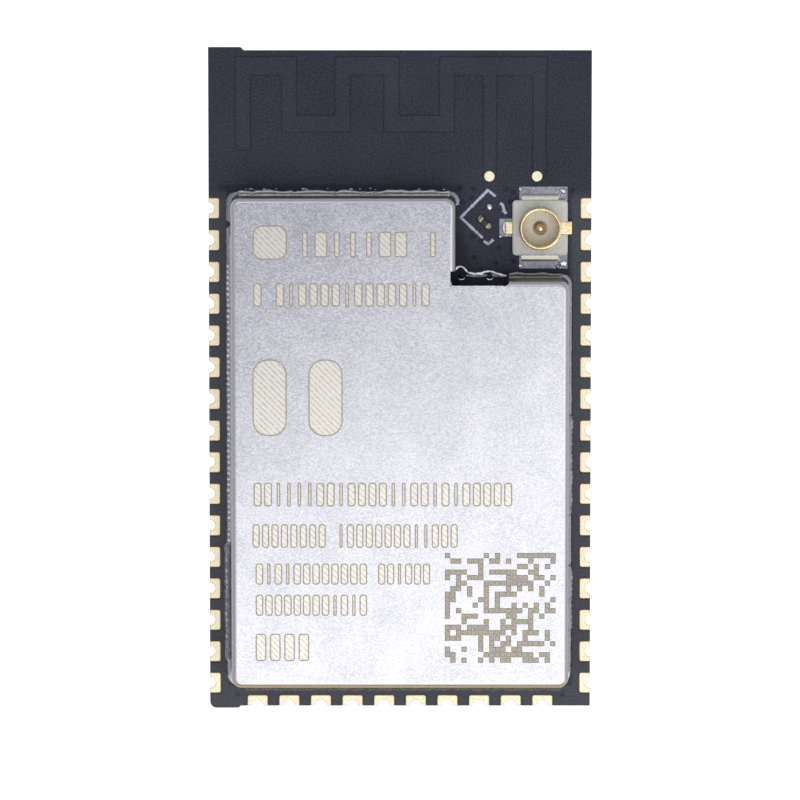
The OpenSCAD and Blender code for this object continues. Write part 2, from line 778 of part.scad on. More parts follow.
module link_body() {
    color("#2b2b30") translate([link[0], link[1], land_top + link_h / 2]) rotate(link_angle)
        cube([link_l - 2 * link_end_l, link_w, link_h], center = true);
}

// A dome: the top cut from a sphere that is wider than the land
module spare_solder() {
    dome_h = 0.12;
    r = (pow(spare_solder_d / 2, 2) + pow(dome_h, 2)) / (2 * dome_h);
    color("#b9b9c2") translate([spare_land[0], spare_land[1], land_top]) intersection() {
        translate([0, 0, dome_h - r]) sphere(r);
        cylinder(r = spare_solder_d, h = 2 * dome_h);
    }
}

// The printed diamond, open where the receptacle's corner and a via come in its way
module printed_mark() {
    h = mark_half;
    top = mark + [0, h];
    left = mark - [h, 0];
    low = mark - [0, h];
    right = mark + [h, 0];
    color("#c9c8de") translate([0, 0, board_t]) linear_extrude(print_t) union() {
        stroke(top, left, mark_line);
        stroke(left, left + (low - left) * 0.76, mark_line);
        stroke(low, low + (left - low) * 0.12, mark_line);
        stroke(low, low + (right - low) * 0.18, mark_line);
        stroke(top, top + (right - top) * 0.28, mark_line);
        stroke(top + (right - top) * 0.52, top + (right - top) * 0.7, mark_line);
    }
}

// ---- under the can ----

module component_lands() {
    color("#a6a7ad") translate([0, 0, core_top]) linear_extrude(copper_t) component_land_outline();
}

module radio_chip_leads() {
    color("#c0c0c8") translate([0, 0, land_top]) linear_extrude(lead_stand) {
        each_chip_lead() square(chip_lead, center = true);
        translate(chip) square(chip_slug, center = true);
    }
}

module radio_chip() {
    color("#2a2a2c") translate([chip[0], chip[1], land_top + lead_stand]) linear_extrude(chip_h)
        square(chip_w, center = true);
}

// Gull-wing lead from the moulding at mid height down to its foot
module gull_wing() {
    t = memory_lead_t;
    mid = memory_h / 2;
    knee = memory_span / 2 - memory_foot;
    polygon([
        [memory_w / 2, mid - t / 2], [knee - t, mid - t / 2], [knee, 0], [memory_span / 2, 0],
        [memory_span / 2, t], [knee + 0.7 * t, t], [knee - 0.3 * t, mid + t / 2], [memory_w / 2, mid + t / 2]
    ]);
}

module memory_leads() {
    color("#c0c0c8") translate([0, 0, land_top]) each_memory_lead()
        translate([0, memory_lead_w / 2, 0]) rotate([90, 0, 0]) linear_extrude(memory_lead_w) gull_wing();
}

// Moulding with drafted sides, widest where the leads leave it
module memory_chip() {
    half = memory_w / 2;
    draft = 0.12;
    gap = 0.1;
    t = memory_lead_t;
    mid = memory_h / 2;
    color("#2a2a2c") translate([memory[0], memory[1] + half, land_top]) rotate([90, 0, 0]) linear_extrude(memory_w)
        polygon([
            [-half + draft, gap], [half - draft, gap], [half, mid - t / 2], [half, mid + t / 2],
            [half - draft, memory_h], [-half + draft, memory_h], [-half, mid + t / 2], [-half, mid - t / 2]
        ]);
}

module crystal_base() {
    color("#b9b39c") translate([crystal[0], crystal[1], land_top + crystal_h / 2])
        cube([crystal_l, crystal_w, crystal_h], center = true);
}

module crystal_lid() {
    rim = 0.12;
    color("#c9c9cf") translate([crystal[0], crystal[1], land_top + crystal_h]) linear_extrude(crystal_lid_t)
        rounded([crystal_l - 2 * rim, crystal_w - 2 * rim], crystal_lid_r);
}

// A block chip part: a body between two end caps
module part_body(l, w, end_l) translate([0, 0, w / 2]) cube([l - 2 * end_l, w, w], center = true);
module part_ends(l, w, end_l)
    for (s = [-1, 1]) translate([s * (l - end_l) / 2, 0, w / 2]) cube([end_l, w, w], center = true);

module capacitor_bodies()
    color("#b08d57") translate([0, 0, land_top]) for (c = cap_spots) at(c) part_body(cap_l, cap_w, cap_end_l);
module capacitor_ends()
    color("#b9b9c2") translate([0, 0, land_top]) for (c = cap_spots) at(c) part_ends(cap_l, cap_w, cap_end_l);
module inductor_bodies()
    color("#4a4a4e") translate([0, 0, land_top])
        for (p = inductor_spots) translate(p) part_body(inductor_l, inductor_w, inductor_end_l);
module inductor_ends()
    color("#b9b9c2") translate([0, 0, land_top])
        for (p = inductor_spots) translate(p) part_ends(inductor_l, inductor_w, inductor_end_l);

board_core();
solder_mask_top();
solder_mask_under();
antenna_trace();
via_barrels();
edge_pads_left();
edge_pads_right();
edge_pads_end();
ground_pads();
test_pads();
shield_land();
shield_can();
shield_solder();
slot_solder();
coax_lands();
coax_housing();
coax_shell();
coax_contact();
coax_solder();
selector_lands();
link_body();
link_ends();
spare_solder();
printed_mark();
component_lands();
radio_chip();
radio_chip_leads();
memory_chip();
memory_leads();
crystal_base();
crystal_lid();
capacitor_bodies();
capacitor_ends();
inductor_bodies();
inductor_ends();
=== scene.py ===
import math
import random

import bmesh
import bpy
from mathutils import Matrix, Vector, noise


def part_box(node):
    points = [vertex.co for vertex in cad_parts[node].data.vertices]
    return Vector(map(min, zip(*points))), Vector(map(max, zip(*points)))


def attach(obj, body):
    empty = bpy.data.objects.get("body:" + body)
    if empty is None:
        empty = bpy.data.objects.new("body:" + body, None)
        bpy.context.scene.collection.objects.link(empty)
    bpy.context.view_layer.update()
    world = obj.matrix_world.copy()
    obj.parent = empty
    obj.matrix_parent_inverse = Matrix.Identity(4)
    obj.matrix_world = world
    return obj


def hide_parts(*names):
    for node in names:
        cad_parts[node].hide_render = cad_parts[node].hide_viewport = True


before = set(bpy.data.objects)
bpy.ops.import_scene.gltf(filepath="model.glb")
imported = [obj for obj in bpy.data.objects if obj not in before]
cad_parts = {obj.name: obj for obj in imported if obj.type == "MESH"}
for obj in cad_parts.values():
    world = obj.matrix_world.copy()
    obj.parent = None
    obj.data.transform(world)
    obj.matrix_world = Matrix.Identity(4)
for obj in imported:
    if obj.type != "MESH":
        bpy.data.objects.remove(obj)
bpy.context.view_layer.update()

mm = 0.001


# helpers

def fromHex(code):  # sRGB hex to the linear colour that a shader reads
    parts = [int(code[i:i + 2], 16) / 255 for i in (1, 3, 5)]
    return tuple(c / 12.92 if c <= 0.04045 else ((c + 0.055) / 1.055) ** 2.4 for c in parts) + (1.0,)


def setStops(ramp, stops):
    while len(ramp) < len(stops):
        ramp.new(0.5)
    for stop, (place, colour) in zip(ramp, stops):
        stop.position = place
        stop.color = fromHex(colour)


def fill(tree, node, values):  # another node stands for its output in use, and a hex code for its colour
    for key, value in values.items():
        if isinstance(value, bpy.types.Node):
            value = next(socket for socket in value.outputs if socket.enabled)
        if isinstance(value, str) and value.startswith("#"):
            value = fromHex(value)
        if isinstance(value, bpy.types.NodeSocket):
            tree.links.new(value, node.inputs[key])
        elif key == "stops":
            setStops(node.color_ramp.elements, value)
        elif isinstance(key, str) and hasattr(node, key):
            setattr(node, key, value)
        else:
            node.inputs[key].default_value = value
    return node


def addNode(tree, kind, values=None):
    return fill(tree, tree.nodes.new(kind), values or {})


def newMaterial(name):  # comes with its tree and the place on the object, in millimetres
    material = bpy.data.materials.new(name)
    material.use_nodes = True
    tree = material.node_tree
    place = addNode(tree, "ShaderNodeTexCoord").outputs["Object"]
    return material, tree, addNode(tree, "ShaderNodeMapping", {"Scale": (1000, 1000, 1000), "Vector": place})


def grainTone(tree, place, scale, low, high, span=(0.3, 0.7), more=None):  # a fine noise and its two tones
    grain = addNode(tree, "ShaderNodeTexNoise", {
        "Scale": scale, "Detail": 3.0, "Vector": place, **(more or {})})
    stops = [(span[0], low), (span[1], high)]
    return grain, addNode(tree, "ShaderNodeValToRGB", {"stops": stops, "Fac": grain})


def finishMaterial(material, tone, roughness, relief, bevel=None, more=None):
    tree = material.node_tree
    height, strength, depth = relief  # the depth in millimetres
    bump = addNode(tree, "ShaderNodeBump", {"Strength": strength, "Distance": depth * mm, "Height": height})
    if bevel:
        fill(tree, bump, {"Normal": bevel})
    fill(tree, tree.nodes["Principled BSDF"], {
        "Base Color": tone, "Roughness": roughness, "Normal": bump, **(more or {})})
    return material


metal = {"Metallic": 1.0}


def insideBox(tree, place, low, high, soft):  # 1 inside a level rectangle, easing to 0 across its border
    middle = ((low[0] + high[0]) / 2, (low[1] + high[1]) / 2, 0)
    half = ((high[0] - low[0]) / 2, (high[1] - low[1]) / 2, 0)
    off = addNode(tree, "ShaderNodeVectorMath", {"operation": "SUBTRACT", 0: place, 1: middle})
    size = addNode(tree, "ShaderNodeVectorMath", {"operation": "ABSOLUTE", 0: off})
    past = addNode(tree, "ShaderNodeVectorMath", {"operation": "SUBTRACT", 0: size, 1: half})
    axis = addNode(tree, "ShaderNodeSeparateXYZ", {0: past}).outputs
    worst = addNode(tree, "ShaderNodeMath", {"operation": "MAXIMUM", 0: axis["X"], 1: axis["Y"]})
    return addNode(tree, "ShaderNodeMapRange", {"From Min": soft, "From Max": -soft, "Value": worst})


def boxOf(node):  # a node's corners in millimetres
    low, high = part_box(node)
    return Vector(low) / mm, Vector(high) / mm


def metres(x, y, z=0.0):
    return (x * mm, y * mm, z * mm)


def newObject(name, mesh):
    piece = bpy.data.objects.new(name, mesh)
    bpy.context.scene.collection.objects.link(piece)
    return piece


def fromFaces(name, points, faces, smooth=True):
    mesh = bpy.data.meshes.new(name)
    mesh.from_pydata([tuple(p) for p in points], [], faces)
    mesh.validate()
    for face in mesh.polygons:
        face.use_smooth = smooth
    return newObject(name, mesh)


def fixNormals(piece):
    shape = bmesh.new()
    shape.from_mesh(piece.data)
    bmesh.ops.recalc_face_normals(shape, faces=shape.faces)
    shape.to_mesh(piece.data)
    shape.free()


def runNodes(name, source, tree, values):  # applies a node tree to an object and keeps the plain result
    modifier = source.modifiers.new(name, "NODES")
    modifier.node_group = tree
    for item in tree.interface.items_tree:
        if item.item_type == "SOCKET" and item.in_out == "INPUT" and item.name in values:
            modifier[item.identifier] = values[item.name]
    graph = bpy.context.evaluated_depsgraph_get()
    mesh = bpy.data.meshes.new_from_object(source.evaluated_get(graph))
    mesh.name = name
    bpy.data.objects.remove(source)
    return newObject(name, mesh)


def joinPieces(name, pieces):
    shape = bmesh.new()
    materials = []
    for piece in pieces:
        start = len(shape.faces)
        shape.from_mesh(piece.data)
        shape.faces.ensure_lookup_table()
        for face in shape.faces[start:]:
            own = piece.data.materials[face.material_index]
            if own not in materials:
                materials.append(own)
            face.material_index = materials.index(own)
    mesh = bpy.data.meshes.new(name)
    shape.to_mesh(mesh)
    shape.free()
    for material in materials:
        mesh.materials.append(material)
    for piece in pieces:
        bpy.data.objects.remove(piece)
    return newObject(name, mesh)


def keep(piece, slot, *nodes, material=None):
    if material:
        piece.data.materials.clear()
        piece.data.materials.append(material)
    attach(piece, "root")
    if nodes:
        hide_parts(*nodes)


# materials

maskLook = {
    "dark": "#090A11", "light": "#33353F", "grain": 0.05, "roughness": 0.46, "tint": "#DCE0FF",
    "peelShare": 0.95, "peelLift": -0.08, "cloudShare": 0.25, "cloud": 0.35,
    "strip": "#5C5A5A", "beside": 0.15, "overTrace": "#3A3638", "traceShare": 0.25,
    # painted shade: a near-black tone laid on the mask along the can's north foot and in the notch's corners,
    # where the can shades the board
    "paintedShade": "#030303", "paintedShadeShare": 0.9, "notch": (5.3, 3.87),
    "paintedShadeSpots": [  # the corner they are measured from, their own two corners and their softness
        ("top", (-0.6, 0.22), (10.85, 0.52), 0.08), ("notch", (-0.15, 0.3), (0.36, 2.1), 0.12),
        ("notch", (-0.15, 0.3), (0.62, 1.6), 0.14), ("notch", (0.0, 0.3), (2.3, 0.46), 0.08),
        ("notch", (2.1, 0.18), (5.35, 0.4), 0.06)],
}


def solderMask():  # black liquid solder mask, screen coated: a semi-matt skin with a fine orange peel
    look = maskLook
    material, tree, place = newMaterial("blackSolderMask")
    peel = addNode(tree, "ShaderNodeTexNoise", {
        "Scale": 0.5 / look["grain"], "Detail": 3.0, "Roughness": 0.6, "Vector": place})
    cloud = addNode(tree, "ShaderNodeTexNoise", {"Scale": look["cloud"], "Detail": 2.0, "Vector": place})
    blend = addNode(tree, "ShaderNodeMath", {
        "operation": "MULTIPLY_ADD", 0: peel, 1: look["peelShare"], 2: look["peelLift"]})
    both = addNode(tree, "ShaderNodeMath", {
        "operation": "MULTIPLY_ADD", 0: cloud, 1: look["cloudShare"], 2: blend})
    skin = addNode(tree, "ShaderNodeValToRGB", {
        "stops": [(0.38, look["dark"]), (0.68, look["light"])], "Fac": both})
    low, high = boxOf("shield_can")
    out = look["beside"]
    board = insideBox(tree, place, (-20, -20), (20, high.y), 0.3)
    can = insideBox(tree, place, (low.x - out, low.y - out), (high.x + out, high.y + 1.0), 0.12)
    beside = addNode(tree, "ShaderNodeMath", {"operation": "SUBTRACT", "use_clamp": True, 0: board, 1: can})
    part = addNode(tree, "ShaderNodeMath", {"operation": "MULTIPLY", 0: beside, 1: both})
    worn = addNode(tree, "ShaderNodeMix", {"data_type": "RGBA", 0: part, 6: skin, 7: look["strip"]})
    height = addNode(tree, "ShaderNodeSeparateXYZ", {0: place}).outputs["Z"]
    raised = addNode(tree, "ShaderNodeMapRange", {
        "From Min": low.z + 0.004, "From Max": low.z + 0.016, "To Max": look["traceShare"], "Value": height})
    traced = addNode(tree, "ShaderNodeMix", {"data_type": "RGBA", 0: raised, 6: worn, 7: look["overTrace"]})
    corners = {"top": (low.x, high.y), "notch": (high.x - look["notch"][0], high.y - look["notch"][1])}
    shadeMask = None  # painted shade along the can's north foot and in the notch's corners
    for end, (x0, y0), (x1, y1), soft in look["paintedShadeSpots"]:
        x, y = corners[end]
        spot = insideBox(tree, place, (x + x0, y + y0), (x + x1, y + y1), soft)
        if shadeMask:
            spot = addNode(tree, "ShaderNodeMath", {"operation": "MAXIMUM", 0: shadeMask, 1: spot})
        shadeMask = spot
    share = addNode(tree, "ShaderNodeMath", {"operation": "MULTIPLY", 0: shadeMask, 1: look["paintedShadeShare"]})
    tone = addNode(tree, "ShaderNodeMix", {"data_type": "RGBA", 0: share, 6: traced, 7: look["paintedShade"]})
    gloss = addNode(tree, "ShaderNodeMapRange", {
        "To Min": look["roughness"] - 0.07, "To Max": look["roughness"] + 0.07, "Value": peel})
    bevel = addNode(tree, "ShaderNodeBevel", {"samples": 4, "Radius": 0.07 * mm})
    return finishMaterial(
        material, tone, gloss, (peel, 0.7, 0.008), bevel, {"Specular Tint": look["tint"]})


laminateLook = {  # plies repeat every 0.1 mm, and the bundles of fibre are about 0.02 mm thick
    "dark": "#2A2A26", "pale": "#6E6A4E", "roughness": 0.62, "plies": 3.1, "fibres": 22.0,
}


def glassLaminate():  # glass-epoxy laminate with routed edges: pale glass layers in dark brown resin
    look = laminateLook
    material, tree, place = newMaterial("glassEpoxyLaminate")
    layers = addNode(tree, "ShaderNodeTexWave", {
        "wave_type": "BANDS", "bands_direction": "Z", "Scale": look["plies"], "Distortion": 0.8,
        "Detail": 2.0, "Vector": place})
    fibre = addNode(tree, "ShaderNodeTexNoise", {"Scale": look["fibres"], "Detail": 2.0, "Vector": place})
    mixed = addNode(tree, "ShaderNodeMath", {"operation": "MULTIPLY", 0: layers.outputs["Fac"], 1: fibre})
    tone = addNode(tree, "ShaderNodeValToRGB", {
        "stops": [(0.1, look["dark"]), (0.6, look["pale"])], "Fac": mixed})
    return finishMaterial(material, tone, look["roughness"], (mixed, 0.5, 0.02))


canLook = {
    "base": "#D6D6DC", "low": "#A9A9B3", "grain": 0.043, "roughness": 0.22, "dull": 0.4, "cloudShare": 0.3,
    # painted light and shade on the bent sheet: a darker wall, a tan fold, a bright highlight at the fold's
    # edge and a warm reflection
    "wall": "#8F8D8C", "fold": "#938E8A", "shoulder": "#D4D2CF", "paintedEdgeHighlight": "#D2D3DA", "paintedWarmReflection": "#B2A183",
}


def canSheet():  # cold-rolled nickel silver with a dull rolled face: fine even grain, no brush lines
    look = canLook
    material, tree, place = newMaterial("nickelSilverSheet")
    across = addNode(tree, "ShaderNodeMapping", {"Scale": (0.8, 1.1, 1.0), "Vector": place})
    grain = addNode(tree, "ShaderNodeTexNoise", {
        "Scale": 0.5 / look["grain"], "Detail": 2.0, "Roughness": 0.6, "Vector": across})
    cloud = addNode(tree, "ShaderNodeTexNoise", {"Scale": 0.5, "Detail": 2.0, "Vector": place})
    both = addNode(tree, "ShaderNodeMath", {
        "operation": "MULTIPLY_ADD", 0: cloud, 1: look["cloudShare"], 2: grain})
    tone = addNode(tree, "ShaderNodeValToRGB", {
        "stops": [(0.35, look["low"]), (0.85, look["base"])], "Fac": both})
    bevel = addNode(tree, "ShaderNodeBevel", {"samples": 6, "Radius": 0.05 * mm})
    facing = addNode(tree, "ShaderNodeSeparateXYZ", {0: bevel}).outputs
    bent = addNode(tree, "ShaderNodeMapRange", {"From Min": 1.0, "From Max": 0.985, "Value": facing["Z"]})
    # painted light and shade by facing: walls darker, the fold tan, a pale highlight where the fold meets the
    # top
    stops = [(0.2, look["wall"]), (0.55, look["fold"]), (0.86, look["shoulder"]), (0.955, look["paintedEdgeHighlight"])]
    fold = addNode(tree, "ShaderNodeValToRGB", {"stops": stops, "Fac": facing["Z"]})
    # painted reflection: the fold that faces the foot end is tinted warm
    toFoot = addNode(tree, "ShaderNodeMapRange", {
        "From Min": -0.15, "From Max": -0.55, "Value": facing["Y"]})
    turned = addNode(tree, "ShaderNodeMapRange", {"From Min": 0.05, "From Max": 0.3, "Value": facing["Z"]})
    footReflectionShare = addNode(tree, "ShaderNodeMath", {"operation": "MULTIPLY", 0: toFoot, 1: turned})
    paintedFoldTone = addNode(tree, "ShaderNodeMix", {"data_type": "RGBA", 0: footReflectionShare, 6: fold, 7: look["paintedWarmReflection"]})
    drawn = addNode(tree, "ShaderNodeMix", {"data_type": "RGBA", 0: bent, 6: tone, 7: paintedFoldTone})
    rolled = addNode(tree, "ShaderNodeMapRange", {
        "To Min": look["roughness"] - 0.06, "To Max": look["roughness"] + 0.06, "Value": grain})
    gloss = addNode(tree, "ShaderNodeMix", {0: bent, 2: rolled, 3: look["dull"]})
    return finishMaterial(material, drawn, gloss, (grain, 0.13, 0.005), bevel, metal)


goldLook = {"face": "#FFF6DE", "low": "#F0E4C0", "edge": "#B87C40", "roughness": 0.5}


def goldPlate():  # immersion gold over nickel: pale yellow and soft, browner where the plating turns an edge
    look = goldLook
    material, tree, place = newMaterial("immersionGold")
    bevel = addNode(tree, "ShaderNodeBevel", {"samples": 6, "Radius": 0.06 * mm})
    surface = addNode(tree, "ShaderNodeNewGeometry").outputs["True Normal"]
    turn = addNode(tree, "ShaderNodeVectorMath", {"operation": "DOT_PRODUCT", 0: bevel, 1: surface})
    worn = addNode(tree, "ShaderNodeMapRange", {"From Min": 0.995, "From Max": 0.8, "Value": turn})
    grain, uneven = grainTone(tree, place, 9.0, look["low"], look["face"])
    facing = addNode(tree, "ShaderNodeSeparateXYZ", {0: bevel}).outputs["Y"]
    lower = addNode(tree, "ShaderNodeMapRange", {
        "From Min": 0.1, "From Max": -0.3, "To Min": 0.45, "Value": facing})
    edged = addNode(tree, "ShaderNodeMath", {"operation": "MULTIPLY", 0: worn, 1: lower})
    tone = addNode(tree, "ShaderNodeMix", {"data_type": "RGBA", 0: edged, 6: uneven, 7: look["edge"]})
    return finishMaterial(material, tone, look["roughness"], (grain, 0.3, 0.004), bevel, metal)


bronzeLook = {
    "low": "#E8D09A", "high": "#FBEEC8", "tinned": "#CCCAC2", "roughness": 0.2,
    "bevel": 0.08, "legBevel": 0.02, "wetting": (-0.02, 0.08),  # from the housing's own ends
}


def bronzeShell():  # gold-flashed phosphor bronze, tumbled: deeper yellow than the pads, tinned on its legs
    look = bronzeLook
    material, tree, place = newMaterial("goldFlashedBronze")
    grain, flash = grainTone(tree, place, 8.0, look["low"], look["high"])
    low, high = boxOf("coax_housing")
    half = (high.y - low.y) / 2
    along = addNode(tree, "ShaderNodeSeparateXYZ", {0: place}).outputs["Y"]
    off = addNode(tree, "ShaderNodeMath", {"operation": "SUBTRACT", 0: along, 1: (low.y + high.y) / 2})
    reach = addNode(tree, "ShaderNodeMath", {"operation": "ABSOLUTE", 0: off})
    wetted = addNode(tree, "ShaderNodeMapRange", {
        "From Min": half + look["wetting"][0], "From Max": half + look["wetting"][1], "Value": reach})
    tone = addNode(tree, "ShaderNodeMix", {"data_type": "RGBA", 0: wetted, 6: flash, 7: look["tinned"]})
    gloss = addNode(tree, "ShaderNodeMapRange", {
        "To Min": look["roughness"] - 0.05, "To Max": look["roughness"] + 0.08, "Value": grain})
    eased = addNode(tree, "ShaderNodeMapRange", {
        "To Min": look["bevel"] * mm, "To Max": look["legBevel"] * mm, "Value": wetted})
    bevel = addNode(tree, "ShaderNodeBevel", {"samples": 6, "Radius": eased})
    return finishMaterial(material, tone, gloss, (grain, 0.3, 0.004), bevel, metal)


def solderMetal(name, low, high, roughness, lumps):  # reflowed tin alloy: bright, lumpy, faintly blue
    material, tree, place = newMaterial(name)
    grain, tone = grainTone(tree, place, 7.0, low, high, more={"Distortion": 0.6})
    gloss = addNode(tree, "ShaderNodeMapRange", {
        "To Min": roughness - 0.06, "To Max": roughness + 0.1, "Value": grain})
    bevel = addNode(tree, "ShaderNodeBevel", {"samples": 4, "Radius": 0.03 * mm})
    return finishMaterial(material, tone, gloss, (grain, 0.5, lumps), bevel, metal)


polymerLook = {  # painted reflection and shade: the gold's colour and a darker brown round the pin, off centre to the upper left, and the gold's colour on the ring's foot
    "low": "#D8D7CF", "high": "#E8E8E0", "roughness": 0.6, "centre": (-0.03, 0.03),
    "recess": "#94703E", "recessReach": (0.36, 0.2), "recessShare": 0.75,
    "foot": "#E4CFA8", "footReach": (0.98, 0.88), "footShare": 0.3,
}


def mouldedPolymer():  # beige liquid-crystal polymer from a fine-sparked mould: dead matt with a faint mottle
    look = polymerLook
    material, tree, place = newMaterial("beigeLiquidCrystalPolymer")
    mottle, tone = grainTone(tree, place, 5.0, look["low"], look["high"], (0.3, 0.75), {"Detail": 4.0})
    middle = sum(boxOf("coax_housing"), Vector()) / 2
    centre = (middle.x + look["centre"][0], middle.y + look["centre"][1], 0)
    off = addNode(tree, "ShaderNodeVectorMath", {"operation": "SUBTRACT", 0: place, 1: centre})
    level = addNode(tree, "ShaderNodeVectorMath", {"operation": "MULTIPLY", 0: off, 1: (1, 1, 0)})
    reach = addNode(tree, "ShaderNodeVectorMath", {"operation": "LENGTH", 0: level})
    far, close = look["recessReach"]
    near = addNode(tree, "ShaderNodeMapRange", {
        "interpolation_type": "SMOOTHSTEP", "From Min": far, "From Max": close,
        "To Max": look["recessShare"], "Value": reach})
    far, close = look["footReach"]
    paintedWarmReflection = addNode(tree, "ShaderNodeMapRange", {
        "From Min": far, "From Max": close, "To Max": look["footShare"], "Value": reach})
    # painted reflection and shade round the pin and on the ring's foot
    inner = addNode(tree, "ShaderNodeMix", {"data_type": "RGBA", 0: paintedWarmReflection, 6: tone, 7: look["foot"]})
    lit = addNode(tree, "ShaderNodeMix", {"data_type": "RGBA", 0: near, 6: inner, 7: look["recess"]})
    bevel = addNode(tree, "ShaderNodeBevel", {"samples": 6, "Radius": 0.06 * mm})
    return finishMaterial(material, lit, look["roughness"], (mottle, 0.3, 0.006), bevel)


def plainGrain(name, low, high, size, roughness, metallic=0.0):  # one even finish, by grain size in mm
    material, tree, place = newMaterial(name)
    grain, tone = grainTone(tree, place, 0.5 / size, low, high, (0.3, 0.75))
    bevel = addNode(tree, "ShaderNodeBevel", {"samples": 4, "Radius": 0.03 * mm})
    return finishMaterial(material, tone, roughness, (grain, 0.3, 0.005), bevel, {"Metallic": metallic})


hatchLook = {"pitch": 0.1, "light": "#D8D5CF", "dark": "#BBB3A4", "roughness": 0.28, "passShare": 0.6}


def laserHatch():  # metal frosted by a laser in close parallel passes
    look = hatchLook
    material, tree, place = newMaterial("laserFrostedSheet")
    passes = addNode(tree, "ShaderNodeTexWave", {
        "bands_direction": "DIAGONAL", "Scale": 0.314 / look["pitch"] * 0.707, "Distortion": 0.9,
        "Detail": 2.0, "Detail Scale": 3.0, "Vector": place})
    grain = addNode(tree, "ShaderNodeTexNoise", {"Scale": 9.0, "Detail": 3.0, "Vector": place})
    both = addNode(tree, "ShaderNodeMath", {
        "operation": "MULTIPLY_ADD", 0: passes.outputs["Fac"], 1: look["passShare"], 2: grain})
    tone = addNode(tree, "ShaderNodeValToRGB", {
        "stops": [(0.42, look["dark"]), (0.78, look["light"])], "Fac": both})
    return finishMaterial(material, tone, look["roughness"], (both, 0.5, 0.004), more=metal)


mask = solderMask()
laminate = glassLaminate()
sheet = canSheet()
gold = goldPlate()
bronze = bronzeShell()
solder = solderMetal("brightSolder", "#C6C6CF", "#F0F0F5", 0.22, 0.012)
tinned = solderMetal("levelledTinLand", "#74747C", "#A4A4AC", 0.36, 0.02)
stained = solderMetal("dullWettedLand", "#7E7E86", "#A2A2AC", 0.38, 0.02)
ridged = solderMetal("frozenSolderRidge", "#B4B4B4", "#E4E4E3", 0.42, 0.012)
# painted shade: a greyer copy of the ridge solder, for the run in the notch
notchShadedRidge = solderMetal("notchShadedSolderRidge", "#84847F", "#ACACA5", 0.42, 0.012)
frosted = solderMetal("frostedSolder", "#B8B8C6", "#E2E2EE", 0.4, 0.012)
greyed = solderMetal("greyedSolder", "#84848E", "#A6A6B2", 0.45, 0.012)
# darker copies of the wetted land, used below the can's foot end and along its lower left side
southDarkerLand = solderMetal("southDarkerWettedLand", "#4C4945", "#696560", 0.45, 0.02)
leftDarkerLand = solderMetal("leftDarkerWettedLand", "#66666E", "#8A8A92", 0.4, 0.02)
dullTin = solderMetal("dullTinCap", "#8C867A", "#B8B09E", 0.4, 0.02)
filmed = plainGrain("fluxFilmedFillet", "#C6C6CC", "#E0E0E6", 0.05, 0.5)  # flux keeps a slope from shining
sheared = plainGrain("shearedSheetEdge", "#D4D4DA", "#F4F4F8", 0.05, 0.3, 1.0)
polymer = mouldedPolymer()
copper = plainGrain("bareCopperFoil", "#A8623C", "#C98256", 0.04, 0.4, 1.0)
ink = plainGrain("lavenderPrintInk", "#C2C4DE", "#E4E6FA", 0.05, 0.6)
resistor = plainGrain("blackResistorGlaze", "#1B1B20", "#2E2E34", 0.05, 0.35)
compound = plainGrain("epoxyMouldingCompound", "#1A1A1B", "#262627", 0.05, 0.6)
alumina = plainGrain("glazedAlumina", "#A8A48E", "#BDB9A4", 0.08, 0.5)
dielectric = plainGrain("brownCeramicDielectric", "#86603A", "#A0764A", 0.05, 0.5)
ferriteCore = plainGrain("darkFerrite", "#2F2F32", "#454548", 0.06, 0.55)
laserBurn = plainGrain("laserBurntLine", "#9D9483", "#B8AF9F", 0.05, 0.42, 0.85)
laserFrost = laserHatch()
print("materials made")

for material, nodes in {
    laminate: "board_core", mask: "solder_mask_top solder_mask_under", copper: "antenna_trace",
    gold: "edge_pads_left edge_pads_right edge_pads_end ground_pads test_pads",
    tinned: "via_barrels coax_lands selector_lands component_lands radio_chip_leads memory_leads",
    stained: "shield_land", sheet: "shield_can crystal_lid", polymer: "coax_housing",
    bronze: "coax_shell coax_contact", resistor: "link_body", ink: "printed_mark",
    solder: "shield_solder slot_solder coax_solder link_ends spare_solder capacitor_ends inductor_ends",
    compound: "radio_chip memory_chip", alumina: "crystal_base", dielectric: "capacitor_bodies",
    ferriteCore: "inductor_bodies",
}.items():
    for node in nodes.split():
        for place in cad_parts[node].material_slots:
            place.material = material


# shapes in millimetres, as points and faces

def band(a, b, count):  # faces between two closed rings of points
    return [(a + k, a + (k + 1) % count, b + (k + 1) % count, b + k) for k in range(count)]


def arc(x, y, radius, start, step, count):  # points on a circle, by degrees
    turns = [math.radians(start + step * k) for k in range(count)]
    return [(x + radius * math.cos(t), y + radius * math.sin(t)) for t in turns]


def sweep(path, sections):  # each section lists (reach to the path's left, height); the ends are closed
    points, faces = [], []
    count = len(sections[0])
    for i, (x, y) in enumerate(path):
        back, ahead = path[max(i - 1, 0)], path[min(i + 1, len(path) - 1)]
        length = math.hypot(ahead[0] - back[0], ahead[1] - back[1]) or 1.0
        side = (-(ahead[1] - back[1]) / length, (ahead[0] - back[0]) / length)
        points += [(x + side[0] * reach, y + side[1] * reach, height) for reach, height in sections[i]]
    for i in range(len(path) - 1):
        faces += band(i * count, (i + 1) * count, count)
    faces += [tuple(range(count)), tuple(range(len(points) - count, len(points)))]
    return points, faces


def ridge(path, widths, heights, base, steps=6, level=1.0):  # a level below 1 flattens the crest
    turns = [math.pi * k / steps for k in range(steps + 1)]
    return sweep(path, [
        [(math.cos(t) * w / 2, base + math.sin(t) ** level * h) for t in turns]
        for w, h in zip(widths, heights)])


